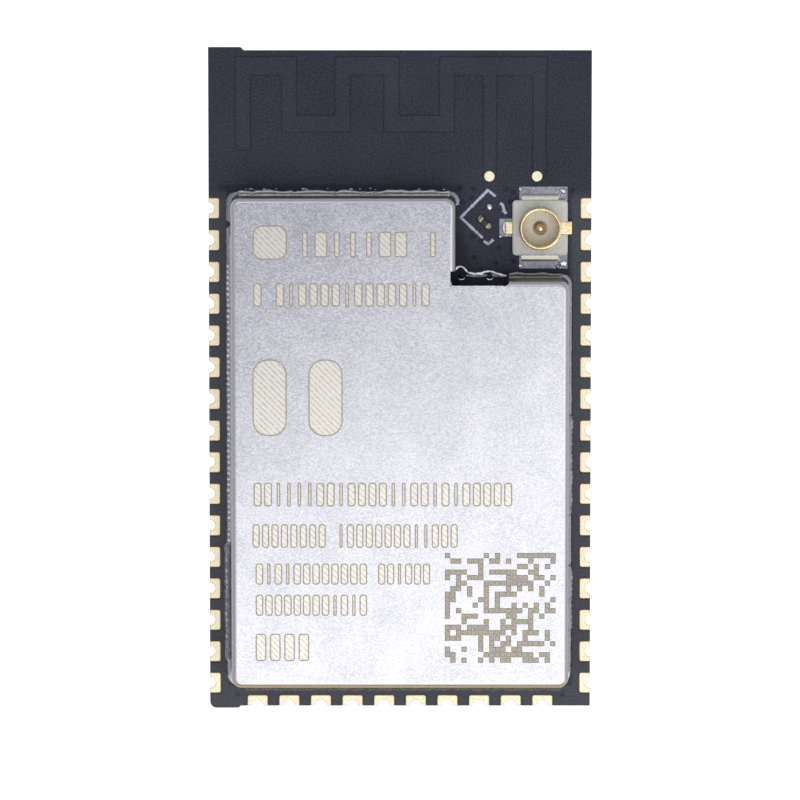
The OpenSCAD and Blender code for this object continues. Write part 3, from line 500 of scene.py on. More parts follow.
def evenPath(corners, step, radius=0.0):  # rounds the corners of a polyline and cuts it to even steps
    bends = [Vector(corners[0])]
    for back, here, ahead in zip(corners, corners[1:], corners[2:]):
        here = Vector(here)
        start = here + (Vector(back) - here).normalized() * radius
        end = here + (Vector(ahead) - here).normalized() * radius
        cuts = (0, 0.2, 0.4, 0.6, 0.8, 1) if radius else (0,)
        bends += [(1 - t) ** 2 * start + 2 * t * (1 - t) * here + t * t * end for t in cuts]
    bends.append(Vector(corners[-1]))
    path = [bends[0]]
    for a, b in zip(bends, bends[1:]):
        pieces = max(1, round((b - a).length / step))
        path += [a.lerp(b, (k + 1) / pieces) for k in range(pieces)]
    return [tuple(p) for p in path]


def waves(path, seed, spacing, depth):  # smooth random factors about 1 along a path
    return [1 + depth * 2 * noise.noise(Vector((x / spacing, y / spacing, seed))) for x, y in path]


def dome(x, y, radius, height, seed, lumps=0.15, rings=5, turns=16):
    points, faces = [], []
    spokes = arc(0, 0, 1, 0, 360 / turns, turns)
    uneven = [1 + lumps * noise.noise(Vector((c, s, seed))) for c, s in spokes]
    for i in range(rings):
        tilt = math.pi / 2 * i / rings
        reach, z = radius * math.cos(tilt), boardTop + height * math.sin(tilt)
        points += [(x + reach * far * c, y + reach * far * s, z) for (c, s), far in zip(spokes, uneven)]
    points.append((x, y, boardTop + height))
    for i in range(rings - 1):
        faces += band(i * turns, (i + 1) * turns, turns)
    last = (rings - 1) * turns
    faces += [(last + k, last + (k + 1) % turns, len(points) - 1) for k in range(turns)]
    faces.append(tuple(range(turns)))
    return points, faces


def meshParts(name, parts, smooth=True):
    points, faces = [], []
    for partPoints, partFaces in parts:
        start = len(points)
        points += [metres(*p) for p in partPoints]
        faces += [tuple(start + k for k in face) for face in partFaces]
    piece = fromFaces(name, points, faces, smooth)
    fixNormals(piece)
    return piece


def meshGroups(name, groups):  # one piece from groups of parts, each with its own material
    pieces = []
    for parts, material in groups:
        piece = meshParts(name + "Part", parts)
        piece.data.materials.append(material)
        pieces.append(piece)
    return joinPieces(name, pieces)


def newTree(name, inputs):
    tree = bpy.data.node_groups.new(name, "GeometryNodeTree")
    tree.interface.new_socket("Geometry", in_out="OUTPUT", socket_type="NodeSocketGeometry")
    for label, kind, value in [("Geometry", "Geometry", None)] + inputs:
        socket = tree.interface.new_socket(label, in_out="INPUT", socket_type="NodeSocket" + kind)
        if value is not None:
            socket.default_value = value
    return tree, addNode(tree, "NodeGroupInput").outputs


def closeTree(tree, geometry, material):
    real = addNode(tree, "GeometryNodeRealizeInstances", {"Geometry": geometry})
    dressed = addNode(tree, "GeometryNodeSetMaterial", {"Geometry": real, "Material": material})
    addNode(tree, "NodeGroupOutput", {"Geometry": dressed})


canLow, canHigh = boxOf("shield_can")
boardTop = canLow.z
coaxMid = sum(boxOf("coax_housing"), Vector()) / 2
markMid = sum(boxOf("printed_mark"), Vector()) / 2
linkMid = sum(boxOf("link_body"), Vector()) / 2
spareMid = sum(boxOf("spare_solder"), Vector()) / 2
notch = Vector((canHigh.x - maskLook["notch"][0], canHigh.y - maskLook["notch"][1]))


def wallPoint(side, dx, end, dy):  # measured from a corner of the can's walls
    x = {"W": canLow.x, "E": canHigh.x, "notch": notch.x}[side] + dx
    y = {"N": canHigh.y, "S": canLow.y, "notch": notch.y}[end] + dy
    return (x, y)


# solder round the can

fillets = {
    "step": 0.09, "flatStep": 0.045, "corner": 0.42, "scallop": 0.265, "tuck": 0.03, "ease": 0.015,
    "ridged": {  # clockwise wall-foot corners, reach, crest height, creep up the wall
        "top": ([("W", 0.3, "N", 0), ("notch", -0.25, "N", 0)], 0.25, 0.09, 0.14),
        "notch": ([("notch", 2.5, "notch", 0), ("E", -0.3, "notch", 0)], 0.25, 0.08, 0.14),
    },
    "ridge": [(1, 0), (0.92, 0.6), (0.8, 0.95), (0.5, 1), (0.4, 0.8), (0.28, 0.3), (0.12, 0.35)],
    "flat": {  # the same with the scallops' depth last
        "cornerLeft": (
            [("W", 0, "N", -1.25), ("W", 0, "N", 0), ("W", 0.42, "N", 0)], 0.24, 0.035, 0.06, 0.0),
        "cornerMiddle": (
            [("notch", -0.4, "N", 0), ("notch", 0, "N", 0), ("notch", 0, "N", -0.5)], 0.23, 0.035, 0.06, 0.0),
        "cornerRight": (
            [("E", -0.45, "notch", 0), ("E", 0, "notch", 0), ("E", 0, "notch", -0.55)],
            0.22, 0.035, 0.06, 0.0),
        "left": ([("W", 0, "S", 6.6), ("W", 0, "S", 21.2)], 0.16, 0.04, 0.09, 0.0),
        "bottom": ([("E", 0, "S", 0.6), ("E", 0, "S", 0), ("W", 0.3, "S", 0)], 0.2, 0.05, 0.1, 0.0),
        "cornerEnd": ([("W", 0.6, "S", 0), ("W", 0, "S", 0), ("W", 0, "S", 0.5)], 0.3, 0.05, 0.1, 0.0),
    },
    "greyed": {
        "rightUpper": ([("E", 0, "S", 12.75), ("E", 0, "S", 7.8)], 0.25, 0.05, 0.09, 0.09),
        "rightLower": ([("E", 0, "S", 5.6), ("E", 0, "S", 2.3)], 0.25, 0.05, 0.09, 0.09),
    },
    "bright": ("left", "bottom", "cornerEnd"),
    "bites": (0.96, 2.94, 4.89, 6.7), "bite": (0.06, 0.55),  # dark gaps in the top run, half width and depth
    "fade": (0.3, 0.16),  # share of the height at a run's ends, and its gain per step
}


def ridgedRun(corners, reach, crest, creep, seed):
    look = fillets
    path = evenPath([wallPoint(*c) for c in corners], look["step"], look["corner"])
    bites = look["bites"] if corners[0][2] == "N" else ()
    half, deep = look["bite"]
    sections = []
    for (x, y), wide, tall in zip(path, waves(path, seed, 0.5, 0.2), waves(path, seed + 40, 0.7, 0.25)):
        bite = sum(math.exp(-((x - canLow.x - gap) / half) ** 2) for gap in bites)
        w, h = reach * wide * (1 - deep * bite), crest * tall
        crestLine = [(w * a, boardTop + h * b) for a, b in look["ridge"]]
        foot = (-look["tuck"], boardTop)
        sections.append([foot] + crestLine + [(-look["tuck"], boardTop + creep * tall)])
    return sweep(path, sections)


def flatRun(corners, reach, height, creep, scallop, seed):
    look = fillets
    step, tuck, (least, gain) = look["flatStep"], look["tuck"], look["fade"]
    path = evenPath([wallPoint(*c) for c in corners], step, look["corner"])
    sections = []
    for k, (wide, tall) in enumerate(zip(waves(path, seed, 0.6, 0.12), waves(path, seed + 40, 0.7, 0.25))):
        fade = min(1.0, least + min(k, len(path) - 1 - k) * gain)
        knob = 1 - scallop + 2 * scallop * abs(math.sin(math.pi * k * step / look["scallop"]))
        w, h = reach * wide * knob * fade, height * tall * fade
        crest = [(w, 0), (w - look["ease"], 0.6 * h), (0.82 * w, 0.95 * h), (0.4 * w, h)]
        section = [(-tuck, 0)] + crest + [(-tuck, creep * tall * fade)]
        sections.append([(out, boardTop + up) for out, up in section])
    return sweep(path, sections)


def canSolder():
    look = fillets
    crested = [ridgedRun(*run, 3.1 * k) for k, run in enumerate(look["ridged"].values())]
    level = {name: flatRun(*run, 20 + 3.1 * k) for k, (name, run) in enumerate(look["flat"].items())}
    side = [flatRun(*run, 50 + 3.1 * k) for k, run in enumerate(look["greyed"].values())]
    bright = [level.pop(name) for name in look["bright"]]
    dull = side + list(level.values())
    # the notch run gets the greyer copy as painted shade
    return meshGroups("canSolder", [
        (crested[:1], ridged), (crested[1:], notchShadedRidge), (bright, frosted), (dull, greyed)])


# wetted land round the can, wider along its foot end and its lower left side

landLook = {
    "inside": 0.35, "rise": 0.004, "thick": 0.03, "ease": (0.01, 0.003), "step": 0.06, "corner": 0.42,
    "path": [
        ("notch", 2.5, "notch", 0), ("E", 0, "notch", 0), ("E", 0, "S", 0), ("W", 0, "S", 0),
        ("W", 0, "N", 0), ("notch", 0, "N", 0), ("notch", 0, "N", -0.45)],
    "reach": {"N": 0.2, "E": 0.19, "S": 0.5, "W": 0.27, "lowerW": 0.4, "corner": 0.2, "gap": 0.03},
    "lower": (1.0, 6.6),
    "gap": (1.34, 0.11),  # unwetted spot on the left, from the can's top, and its half length
}


def landReach(x, y):
    reach, (start, end), (gap, half) = landLook["reach"], landLook["lower"], landLook["gap"]
    left, low = x - canLow.x, y - canLow.y
    if low < 0.2:
        return reach["corner" if left < 0.45 or canHigh.x - x < 0.3 else "S"]
    if left < 0.2:
        if abs(canHigh.y - y - gap) < half:
            return reach["gap"]
        return reach["lowerW" if start < low < end else "W"]
    return reach["E" if canHigh.x - x < 0.2 else "N"]


def canLand():
    look = landLook
    path = evenPath([wallPoint(*c) for c in look["path"]], look["step"], look["corner"])
    raw = [landReach(x, y) for x, y in path]
    top, low = boardTop + look["rise"], boardTop - look["thick"]
    inside, (out, down) = look["inside"], look["ease"]
    sections = []
    for i, wave in enumerate(waves(path, 8.8, 0.2, 0.06)):
        near = raw[max(i - 1, 0):i + 2]
        w = sum(near) / len(near) * wave
        sections.append([(-inside, low), (w, low), (w, top - down), (w - out, top), (-inside, top)])
    piece = meshParts("canLand", [sweep(path, sections)])
    # darker copies of the land's metal below the can's foot end and along its lower left side
    for material in (stained, southDarkerLand, leftDarkerLand):
        piece.data.materials.append(material)
    for face in piece.data.polygons:
        x, y = face.center.x / mm, face.center.y / mm
        lowerLeft = x < canLow.x and y < canLow.y + look["lower"][1]
        face.material_index = 1 if y < canLow.y else 2 if lowerLeft else 0
    return piece


# mask that laps the land's corners and fills the bare spots beside the can and under its slot

lapLook = {
    "depth": 0.033, "sink": 0.001,
    "patches": [  # side, end, then how far it runs left, right, down and up from that corner of the wall foot
        ("W", "N", 0.2, 0.4, 0.4, 0.2), ("notch", "N", 0.4, 0.2, 0.5, 0.2),
        ("E", "notch", 0.4, 0.2, 0.4, 0.2), ("W", "S", 0.2, 0.4, 0.2, 0.4), ("E", "S", 0.4, 0.2, 0.2, 0.4),
        ("notch", "notch", 0.9, 2.7, 0.9, 0.36), ("W", "N", 0.2, 0.1, 1.6, -1.1)],
}


def maskLaps():
    look = lapLook
    low, top = boardTop - look["depth"], boardTop - look["sink"]
    parts = []
    for side, end, left, right, down, up in look["patches"]:
        x, y = wallPoint(side, 0, end, 0)
        section = [(-down, low), (up, low), (up, top), (-down, top)]
        parts.append(sweep([(x - left, y), (x + right, y)], [section] * 2))
    return meshParts("maskLaps", parts, smooth=False)


# bead rows and specks, repeated with nodes

beads = {
    "seed": 7, "rise": 0.015,
    "left": {
        "out": 0.16, "from": 6.7, "to": 19.7, "pitch": 0.265,
        "size": 0.112, "stretch": 1.3, "flat": 0.4, "drift": 0.012, "spread": 0.2},
    "dashes": {
        "out": 0.29, "from": 1.6, "to": 6.2, "pitch": 0.26,
        "size": 0.14, "stretch": 0.4, "flat": 0.22, "drift": 0.03, "spread": 0.75},
    "streaks": {"count": 15, "out": 0.3, "size": 0.038, "stretch": 2.6, "flat": 0.35, "spread": 0.5},
    "specks": {  # on each side the count, then how far out and how far along they lie
        "size": 0.03, "stretch": 1.0, "flat": 0.6, "spread": 0.6,
        "right": (12, 0.12, 0.24, 1.0, 17.5), "left": (16, 0.1, 0.36, 1.2, 6.4)},
}


def beadTree():
    tree, given = newTree("solderBeads", [
        ("Size", "Float", 0.08 * mm), ("Stretch", "Float", 1.0), ("Flatness", "Float", 0.6),
        ("Spread", "Float", 0.3), ("Drift", "Float", 0.0), ("Seed", "Int", 1),
        ("Material", "Material", None)])
    ball = addNode(tree, "GeometryNodeMeshUVSphere", {"Segments": 10, "Rings": 6, "Radius": 1.0})
    least = addNode(tree, "ShaderNodeMath", {"operation": "SUBTRACT", 0: 1.0, 1: given["Spread"]})
    scale = addNode(tree, "FunctionNodeRandomValue", {2: least, 3: 1.0, "Seed": given["Seed"]})
    sized = addNode(tree, "ShaderNodeMath", {"operation": "MULTIPLY", 0: scale, 1: given["Size"]})
    long = addNode(tree, "ShaderNodeMath", {"operation": "MULTIPLY", 0: sized, 1: given["Stretch"]})
    low = addNode(tree, "ShaderNodeMath", {"operation": "MULTIPLY", 0: sized, 1: given["Flatness"]})
    shape = addNode(tree, "ShaderNodeCombineXYZ", {0: long, 1: sized, 2: low})
    stray = addNode(tree, "FunctionNodeRandomValue", {
        "data_type": "FLOAT_VECTOR", 0: (-1, -1, 0), 1: (1, 1, 0), "Seed": given["Seed"]})
    strayed = addNode(tree, "ShaderNodeVectorMath", {"operation": "SCALE", 0: stray, "Scale": given["Drift"]})
    moved = addNode(tree, "GeometryNodeSetPosition", {"Geometry": given["Geometry"], "Offset": strayed})
    rows = addNode(tree, "GeometryNodeInstanceOnPoints", {"Points": moved, "Instance": ball, "Scale": shape})
    closeTree(tree, rows, given["Material"])
    return tree


def beadRow(tree, name, points, look, seed, material):
    source = fromFaces(name, [metres(*p) for p in points], [])
    return runNodes(name, source, tree, {
        "Size": look["size"] * mm, "Stretch": look["stretch"], "Flatness": look["flat"],
        "Spread": look["spread"], "Drift": look.get("drift", 0.0) * mm, "Seed": seed, "Material": material})


def canBeads(tree):
    look = beads
    seed, streak, speck = look["seed"], look["streaks"], look["specks"]
    rows = []
    for k, name in enumerate(("left", "dashes")):
        own = look[name]
        count = int((own["to"] - own["from"]) / own["pitch"]) + 1
        x, y, z = canLow.x - own["out"], canLow.y + own["from"], boardTop + look["rise"]
        places = [(x, y + j * own["pitch"], z) for j in range(count)]
        rows.append(beadRow(tree, name + "Beads", places, own, seed + k, frosted))
    chance = random.Random(seed)
    places = []
    for k in range(streak["count"]):
        x = chance.uniform(canLow.x + 0.3, notch.x - 0.3)
        places.append((x, canHigh.y + streak["out"] + chance.uniform(-0.02, 0.03), boardTop))
    rows.append(beadRow(tree, "solderStreaks", places, streak, seed + 2, frosted))
    places = []
    for x, side, name in ((canHigh.x, 1, "right"), (canLow.x, -1, "left")):
        count, near, far, start, end = speck[name]
        for k in range(count):
            out = side * chance.uniform(near, far)
            places.append((x + out, chance.uniform(canLow.y + start, canLow.y + end), boardTop))
    rows.append(beadRow(tree, "solderSpecks", places, speck, seed + 3, solder))
    return joinPieces("solderBeads", rows)


# solder in the relief slot, with crescents on the two vias' lower rims

slotLook = {
    "line": [  # x, y and width, from the notch's inner corner
        (-0.04, 0.38, 0.16), (0.08, 0.477, 0.15), (0.247, 0.534, 0.11), (0.415, 0.452, 0.11),
        (0.526, 0.307, 0.13), (0.655, 0.205, 0.15), (0.872, 0.172, 0.17), (1.209, 0.172, 0.17),
        (1.353, 0.245, 0.15), (1.473, 0.283, 0.13), (1.617, 0.293, 0.125), (1.81, 0.259, 0.13),
        (1.978, 0.187, 0.15), (2.17, 0.114, 0.16), (2.362, 0.081, 0.14), (2.44, 0.1, 0.08)],
    "height": 0.03, "vias": [(0.294, 0.066), (1.627, 0.066)], "via": 0.15, "plug": 0.045,
    "crescent": (0.172, 200, 9.5, 16), "thick": (0.1, 0.015), "tall": (0.03, 0.006),  # swelling and least
    "film": [(0.5, 0.08), (0.9, 0.06), (1.3, 0.08), (1.95, 0.1), (2.4, 0.04)],
    "filmWidth": 0.22, "filmHeight": 0.025,
}


def slotSolder():
    look = slotLook
    knots = [Vector((notch.x + x, notch.y + y, width)) for x, y, width in look["line"]]
    fine = [a.lerp(b, j / 4) for a, b in zip(knots, knots[1:]) for j in range(4)]
    raw = [p.xy for p in fine]
    path = [raw[0]] + [(a + 2 * b + c) / 4 for a, b, c in zip(raw, raw[1:], raw[2:])] + [raw[-1]]
    ragged = waves(path, 5.5, 0.18, 0.25)
    widths = [p.z * f for p, f in zip(fine, ragged)]
    bright = [ridge(path, widths, [look["height"] * (0.5 + 0.5 * f) for f in ragged], boardTop, 8, 0.45)]
    plugs = []
    count = look["crescent"][-1]
    swell = [math.sin(math.pi * (j + 0.5) / count) for j in range(count)]
    thick, tall = ([gain * w + least for w in swell] for gain, least in (look["thick"], look["tall"]))
    for x, y in look["vias"]:
        crescent = arc(notch.x + x, notch.y + y, *look["crescent"])
        bright.append(ridge(crescent, thick, tall, boardTop, 4))
        plugs.append(dome(notch.x + x, notch.y + y, look["via"], look["plug"], 70.0 + x, 0.12, 4, 20))
    film = evenPath([(notch.x + x, notch.y + y) for x, y in look["film"]], 0.05, 0.05)
    wide = [look["filmWidth"] * w for w in waves(film, 2.2, 0.3, 0.3)]
    dull = [ridge(film, wide, [look["filmHeight"]] * len(film), boardTop)]
    return meshGroups("slotSolder", [(bright, solder), (dull, stained), (plugs, mask)])


# the slot's sheared edge: a burr along it, a web that rounds its far end and a fan in its near corner

slotEdgeLook = {
    "fold": 0.25, "end": 2.5, "web": 0.3, "sheet": 0.18, "burr": 0.075, "lift": 0.016, "turn": 0.17,
    "over": 0.02, "skin": 0.001,
}


def slotWeb(x, edge, columns=9, rows=5):  # follows the fold down and widens to the slot's end
    look = slotEdgeLook
    fold, over, half = look["fold"], look["over"], columns * rows
    points, faces = [], []
    for drop in (0.0, look["sheet"]):
        for i in range(columns):
            t = i / (columns - 1)
            up = fold * (1 - math.sqrt(1 - t * t))
            for j in range(rows):
                y = (up + over) * j / (rows - 1) - over
                z = math.sqrt(max(0.0, fold ** 2 - max(0.0, y) ** 2)) - fold
                points.append((x + look["web"] * t, edge + y, canHigh.z + look["skin"] + z - drop))
    for i in range(columns - 1):
        for a in range(i * rows, i * rows + rows - 1):
            b = half + a
            faces += [(a, a + rows, a + rows + 1, a + 1), (b, b + 1, b + rows + 1, b + rows)]
    near = [i * rows for i in range(columns)]
    far = [i * rows + rows - 1 for i in range(columns)]
    rim = near + list(range(near[-1] + 1, far[-1])) + far[::-1] + list(range(rows - 2, 0, -1))
    faces += [(a, b, half + b, half + a) for a, b in zip(rim, rim[1:] + rim[:1])]
    return points, faces


def slotEdge():
    look = slotEdgeLook
    turn, over, top = look["turn"], look["over"], canHigh.z + look["skin"]
    x, edge = notch.x - look["fold"], notch.y - look["fold"]
    start = notch.x + look["end"] - look["web"]
    fan = [(x - over, edge + turn), (x - over, edge - over), (x + turn, edge - over)]
    fan += arc(x + turn, edge + turn, turn, 180, 11.25, 9)[::-1]
    count = len(fan)
    corner = [(px, py, z) for z in (top, canHigh.z - look["sheet"]) for px, py in fan]
    sides = [tuple(range(count)), tuple(reversed(range(count, 2 * count)))] + band(0, count, count)
    burr = evenPath([(x, notch.y - over), (x, edge), (start + over, edge)], 0.03, turn)
    ragged = waves(burr, 81.0, 0.15, 0.2)
    wide, tall = ([look[key] * w for w in ragged] for key in ("burr", "lift"))
    lip = ridge(burr, wide, tall, canHigh.z - look["skin"], 4)
    return meshGroups("slotEdge", [([slotWeb(start, edge), (corner, sides)], sheet), ([lip], sheared)])


# receptacle solder: fillets along the ground legs' ends, films beside the legs, lumps at the lands' corners

coaxSolderLook = {
    "east": 0.86, "west": -0.88, "leg": 0.12, "legEnd": 1.5, "tuck": 0.03,
    "toe": 0.09, "toeRise": 0.8, "toeCurve": [(0.3, 0.1), (0.1, 0.4)],
    "heel": (0.06, 1.36, 1.6), "heelSize": (0.1, 0.03),
    "lead": [(-1.62, -0.27), (-1.7, -0.1), (-1.69, 0.14), (-1.61, 0.28)], "leadSize": (0.16, 0.04),
    "lumps": [  # x, y from the housing's middle, radius, height
        (1.1, 1.72, 0.14, 0.014), (0.98, 1.79, 0.09, 0.01), (1.13, -1.68, 0.18, 0.017),
        (0.99, -1.71, 0.14, 0.013), (0.83, -1.84, 0.1, 0.009), (-0.93, 1.83, 0.07, 0.03),
        (-0.92, -1.8, 0.09, 0.03), (-1.86, -0.41, 0.1, 0.085)],
}


def coaxToe(side, k):
    look = coaxSolderLook
    x, y = coaxMid.x, coaxMid.y + side * look["legEnd"]
    rise = look["toeRise"] * (boxOf("coax_lands")[1].z + look["leg"] - boardTop)
    path = evenPath([(x + look["west"], y), (x + look["east"] + 0.02, y)], 0.06)
    sections = []
    for wide, tall in zip(waves(path, 14.0 + k, 0.8, 0.1), waves(path, 24.0 + k, 0.9, 0.03)):
        w, h = side * look["toe"] * wide, rise * tall
        curve = [(w * a, boardTop + h * b) for a, b in look["toeCurve"]]
        tuck = -side * look["tuck"]
        sections.append([(tuck, boardTop), (w, boardTop + 0.004)] + curve + [(tuck, boardTop + h)])
    return sweep(path, sections)


def coaxSolder():
    look = coaxSolderLook
    x, y = coaxMid.x, coaxMid.y
    toes = [coaxToe(side, k) for k, side in enumerate((1, -1))]
    (out, start, end), (width, height) = look["heel"], look["heelSize"]
    films = []
    east = x + look["east"]
    for side in (1, -1):
        heel = evenPath([(east, y + side * start), (east + out, y + side * end)], 0.05)
        films.append(ridge(heel, [width] * len(heel), [height] * len(heel), boardTop))
    lead = evenPath([(x + dx, y + dy) for dx, dy in look["lead"]], 0.05, 0.05)
    width, height = look["leadSize"]
    wide = [width * w for w in waves(lead, 6.0, 0.3, 0.3)]
    films.append(ridge(lead, wide, [height] * len(lead), boardTop, 6, 0.6))
    lumps = [
        dome(x + dx, y + dy, radius, height, 30.0 + k, 0.3)
        for k, (dx, dy, radius, height) in enumerate(look["lumps"])]
    return meshGroups("coaxSolder", [(toes, filmed), (films, frosted), (lumps, solder)])


# selector: a tiny resistor between two lands, and the lump on the land left open

selectorLook = {
    "size": (0.6, 0.3, 0.24), "inset": (0.04, 0.02, 0.03), "turn": -42.0, "cap": 0.16, "edge": 0.03,
    "toe": [(-0.17, 0.12, 0.04), (-0.1, 0.18, 0.1), (0, 0.2, 0.13), (0.1, 0.18, 0.1), (0.17, 0.12, 0.04)],
    "lumps": [(0, 0, 0.17, 0.12, 3.0, 0.2, 7, 24), (-0.05, 0.08, 0.09, 0.1, 5.0, 0.3)],
}


def roundedBlock(centre, size, turn, edge, seed=0.0):  # a block with eased edges, slightly uneven
    shape = bmesh.new()
    bmesh.ops.create_cube(shape, size=1.0)
    for point in shape.verts:
        point.co = Vector((point.co.x * size[0], point.co.y * size[1], (point.co.z + 0.5) * size[2]))
    bmesh.ops.bevel(shape, geom=shape.edges[:], offset=edge, segments=3, profile=0.5, affect="EDGES")
    points = []
    for point in shape.verts:
        grown = point.co * (1 + 0.012 * noise.noise(point.co * 9 + Vector((seed, 0, 0))))
        flat = Vector(centre) + turned(grown.x, grown.y, turn)
        points.append((flat.x, flat.y, boardTop + grown.z))
    faces = [tuple(v.index for v in face.verts) for face in shape.faces]
    shape.free()
    return points, faces


def turned(x, y, degrees):
    c, s = math.cos(math.radians(degrees)), math.sin(math.radians(degrees))
    return Vector((x * c - y * s, x * s + y * c))


def selectorParts():
    look = selectorLook
    (length, width, height), turn, edge = look["size"], look["turn"], look["edge"]
    core = [full - less for full, less in zip(look["size"], look["inset"])]
    body = roundedBlock(linkMid.xy, core, turn, edge)
    caps = []
    for side in (-1, 1):
        centre = linkMid.xy + turned(side * (length - look["cap"]) / 2, 0, turn)
        caps.append(roundedBlock(centre, (look["cap"], width, height - 0.02), turn, edge * 1.3, side))
        along, wide, tall = zip(*look["toe"])
        path = [linkMid.xy + turned(side * (length / 2 + edge), t, turn) for t in along]
        caps.append(ridge(path, wide, tall, boardTop))
    return meshParts("selectorBody", [body]), meshParts("selectorCaps", caps)


def spareLump():
    lumps = [dome(spareMid.x + x, spareMid.y + y, *size) for x, y, *size in selectorLook["lumps"]]
    return meshParts("spareLump", lumps)


# printed frame round the selector: worn screen-print strokes

printLook = {
    "width": 0.15, "height": 0.015, "ragged": 0.25, "shift": (-0.02, 0.02),
    "strokes": [  # from the frame's middle
        [(0.6, 0.96), (0.235, 1.25), (-1.04, -0.03), (-0.005, -1.0)],
        [(0.04, -1.14), (0.257, -1.29), (0.5, -1.07)],
        [(0.81, 0.64), (0.93, 0.56), (1.0, 0.32), (1.1, 0.14)],
        [(0.98, 0.3), (0.97, 0.2)],
    ],
}


def printedFrame():
    look = printLook
    x, y = markMid.x + look["shift"][0], markMid.y + look["shift"][1]
    parts = []
    for k, stroke in enumerate(look["strokes"]):
        path = evenPath([(x + dx, y + dy) for dx, dy in stroke], 0.045)
        ragged = waves(path, 60.0 + 7 * k, 0.09, look["ragged"])
        tall = [look["height"] * (0.6 + 0.4 * w) for w in ragged]
        parts.append(ridge(path, [look["width"] * w for w in ragged], tall, boardTop, 4))
    return meshParts("printedFrame", parts)


# mask-filled vias beside the receptacle, at the barrels' own places

viaLook = {
    "radius": 0.1, "depth": 0.08, "sink": 0.004, "turns": 16,
    "rings": [(1.0, 0.0), (0.82, 0.012), (0.55, 0.03), (0.25, 0.045)],  # share of the radius, dip
}


def barrelPlaces():
    shape = bmesh.new()
    shape.from_mesh(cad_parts["via_barrels"].data)
    bmesh.ops.remove_doubles(shape, verts=shape.verts, dist=1e-6)
    left, places = set(shape.verts), []
    while left:
        group, edge = set(), [left.pop()]
        while edge:
            point = edge.pop()
            group.add(point)
            fresh = {line.other_vert(point) for line in point.link_edges} & left
            left -= fresh
            edge += fresh
        xs, ys = [v.co.x / mm for v in group], [v.co.y / mm for v in group]
        places.append(((max(xs) + min(xs)) / 2, (max(ys) + min(ys)) / 2))
    shape.free()
    return sorted(places)


def viaPlugs():
    look = viaLook
    turns, rows = look["turns"], len(look["rings"])
    parts = []
    for x, y in barrelPlaces():
        if canLow.x < x < notch.x and canLow.y < y < notch.y:
            continue
        points, faces = [], []
        for scale, dip in look["rings"]:
            circle = arc(x, y, look["radius"] * scale, 0, 360 / turns, turns)
            points += [(px, py, boardTop - look["sink"] - dip) for px, py in circle]
        points += [(px, py, boardTop - look["depth"]) for px, py, pz in points[:turns]]
        for i in range(rows - 1):
            faces += band(i * turns, (i + 1) * turns, turns)
        faces += band(rows * turns, 0, turns)
        faces += [tuple(range(i * turns, (i + 1) * turns)) for i in (rows - 1, rows)]
        parts.append((points, faces))
    return meshParts("viaPlugs", parts)


# laser-marked blocks on the can's top

laserLook = {
    "line": 0.058, "rise": 0.004, "corner": 0.14, "slim": 0.45, "kept": 0.97,
    "rows": [  # left end, middle height, cell width, cell height, pitch, cells, share of wide cells, seed
        (-4.8, 6.53, 0.6, 1.2, 0.745, 9, 0.8, 3), (-6.9, 4.18, 0.4, 1.1, 0.522, 16, 0.7, 5),
        (-6.9, -5.17, 0.38, 1.12, 0.488, 25, 0.75, 11), (-6.95, -7.12, 0.34, 1.12, 0.441, 22, 0.7, 17),
        (-6.8, -8.91, 0.36, 1.0, 0.442, 12, 0.8, 23), (-1.07, -8.91, 0.34, 1.0, 0.42, 6, 0.7, 29),
        (-6.8, -10.38, 0.36, 1.0, 0.442, 12, 0.8, 31), (-6.85, -12.37, 0.5, 1.3, 0.67, 4, 1.0, 37)],
    "singles": [  # middle, size and corner radius
        (-6.06, 6.62, 1.6, 1.6, 0.45), (-6.085, -0.63, 1.6, 3.6, 0.7), (-3.475, -0.63, 1.6, 3.6, 0.7)],
    "grid": {"start": (2.1, -13.1), "cells": 20, "pitch": 0.26, "size": 0.245, "share": 0.52, "seed": 41},
}


def roundedLoop(width, height, radius, steps=4):
    loop = []
    for x, y, start in ((1, 1, 0), (-1, 1, 90), (-1, -1, 180), (1, -1, 270)):
        x, y = x * (width / 2 - radius), y * (height / 2 - radius)
        loop += arc(x, y, radius, start, 90 / steps, steps + 1)
    return loop


def outlineCell(width, height, radius):  # a thin closed band
    line = laserLook["line"]
    outer = roundedLoop(width, height, radius)
    inner = roundedLoop(width - 2 * line, height - 2 * line, max(radius - line, 0.02))
    n = len(outer)
    points = [(x, y, z) for z in (0.0, laserLook["rise"]) for loop in (outer, inner) for x, y in loop]
    return points, band(0, 2 * n, n) + band(3 * n, n, n) + band(2 * n, 3 * n, n) + band(n, 0, n)


def fillCell(width, height, radius):
    line, n = laserLook["line"], 20
    loop = roundedLoop(width - line, height - line, max(radius - line / 2, 0.02))
    points = [(x, y, z) for z in (0.0, laserLook["rise"] / 2) for x, y in loop]
    return points, [tuple(range(n, 2 * n)), tuple(reversed(range(n)))] + band(0, n, n)


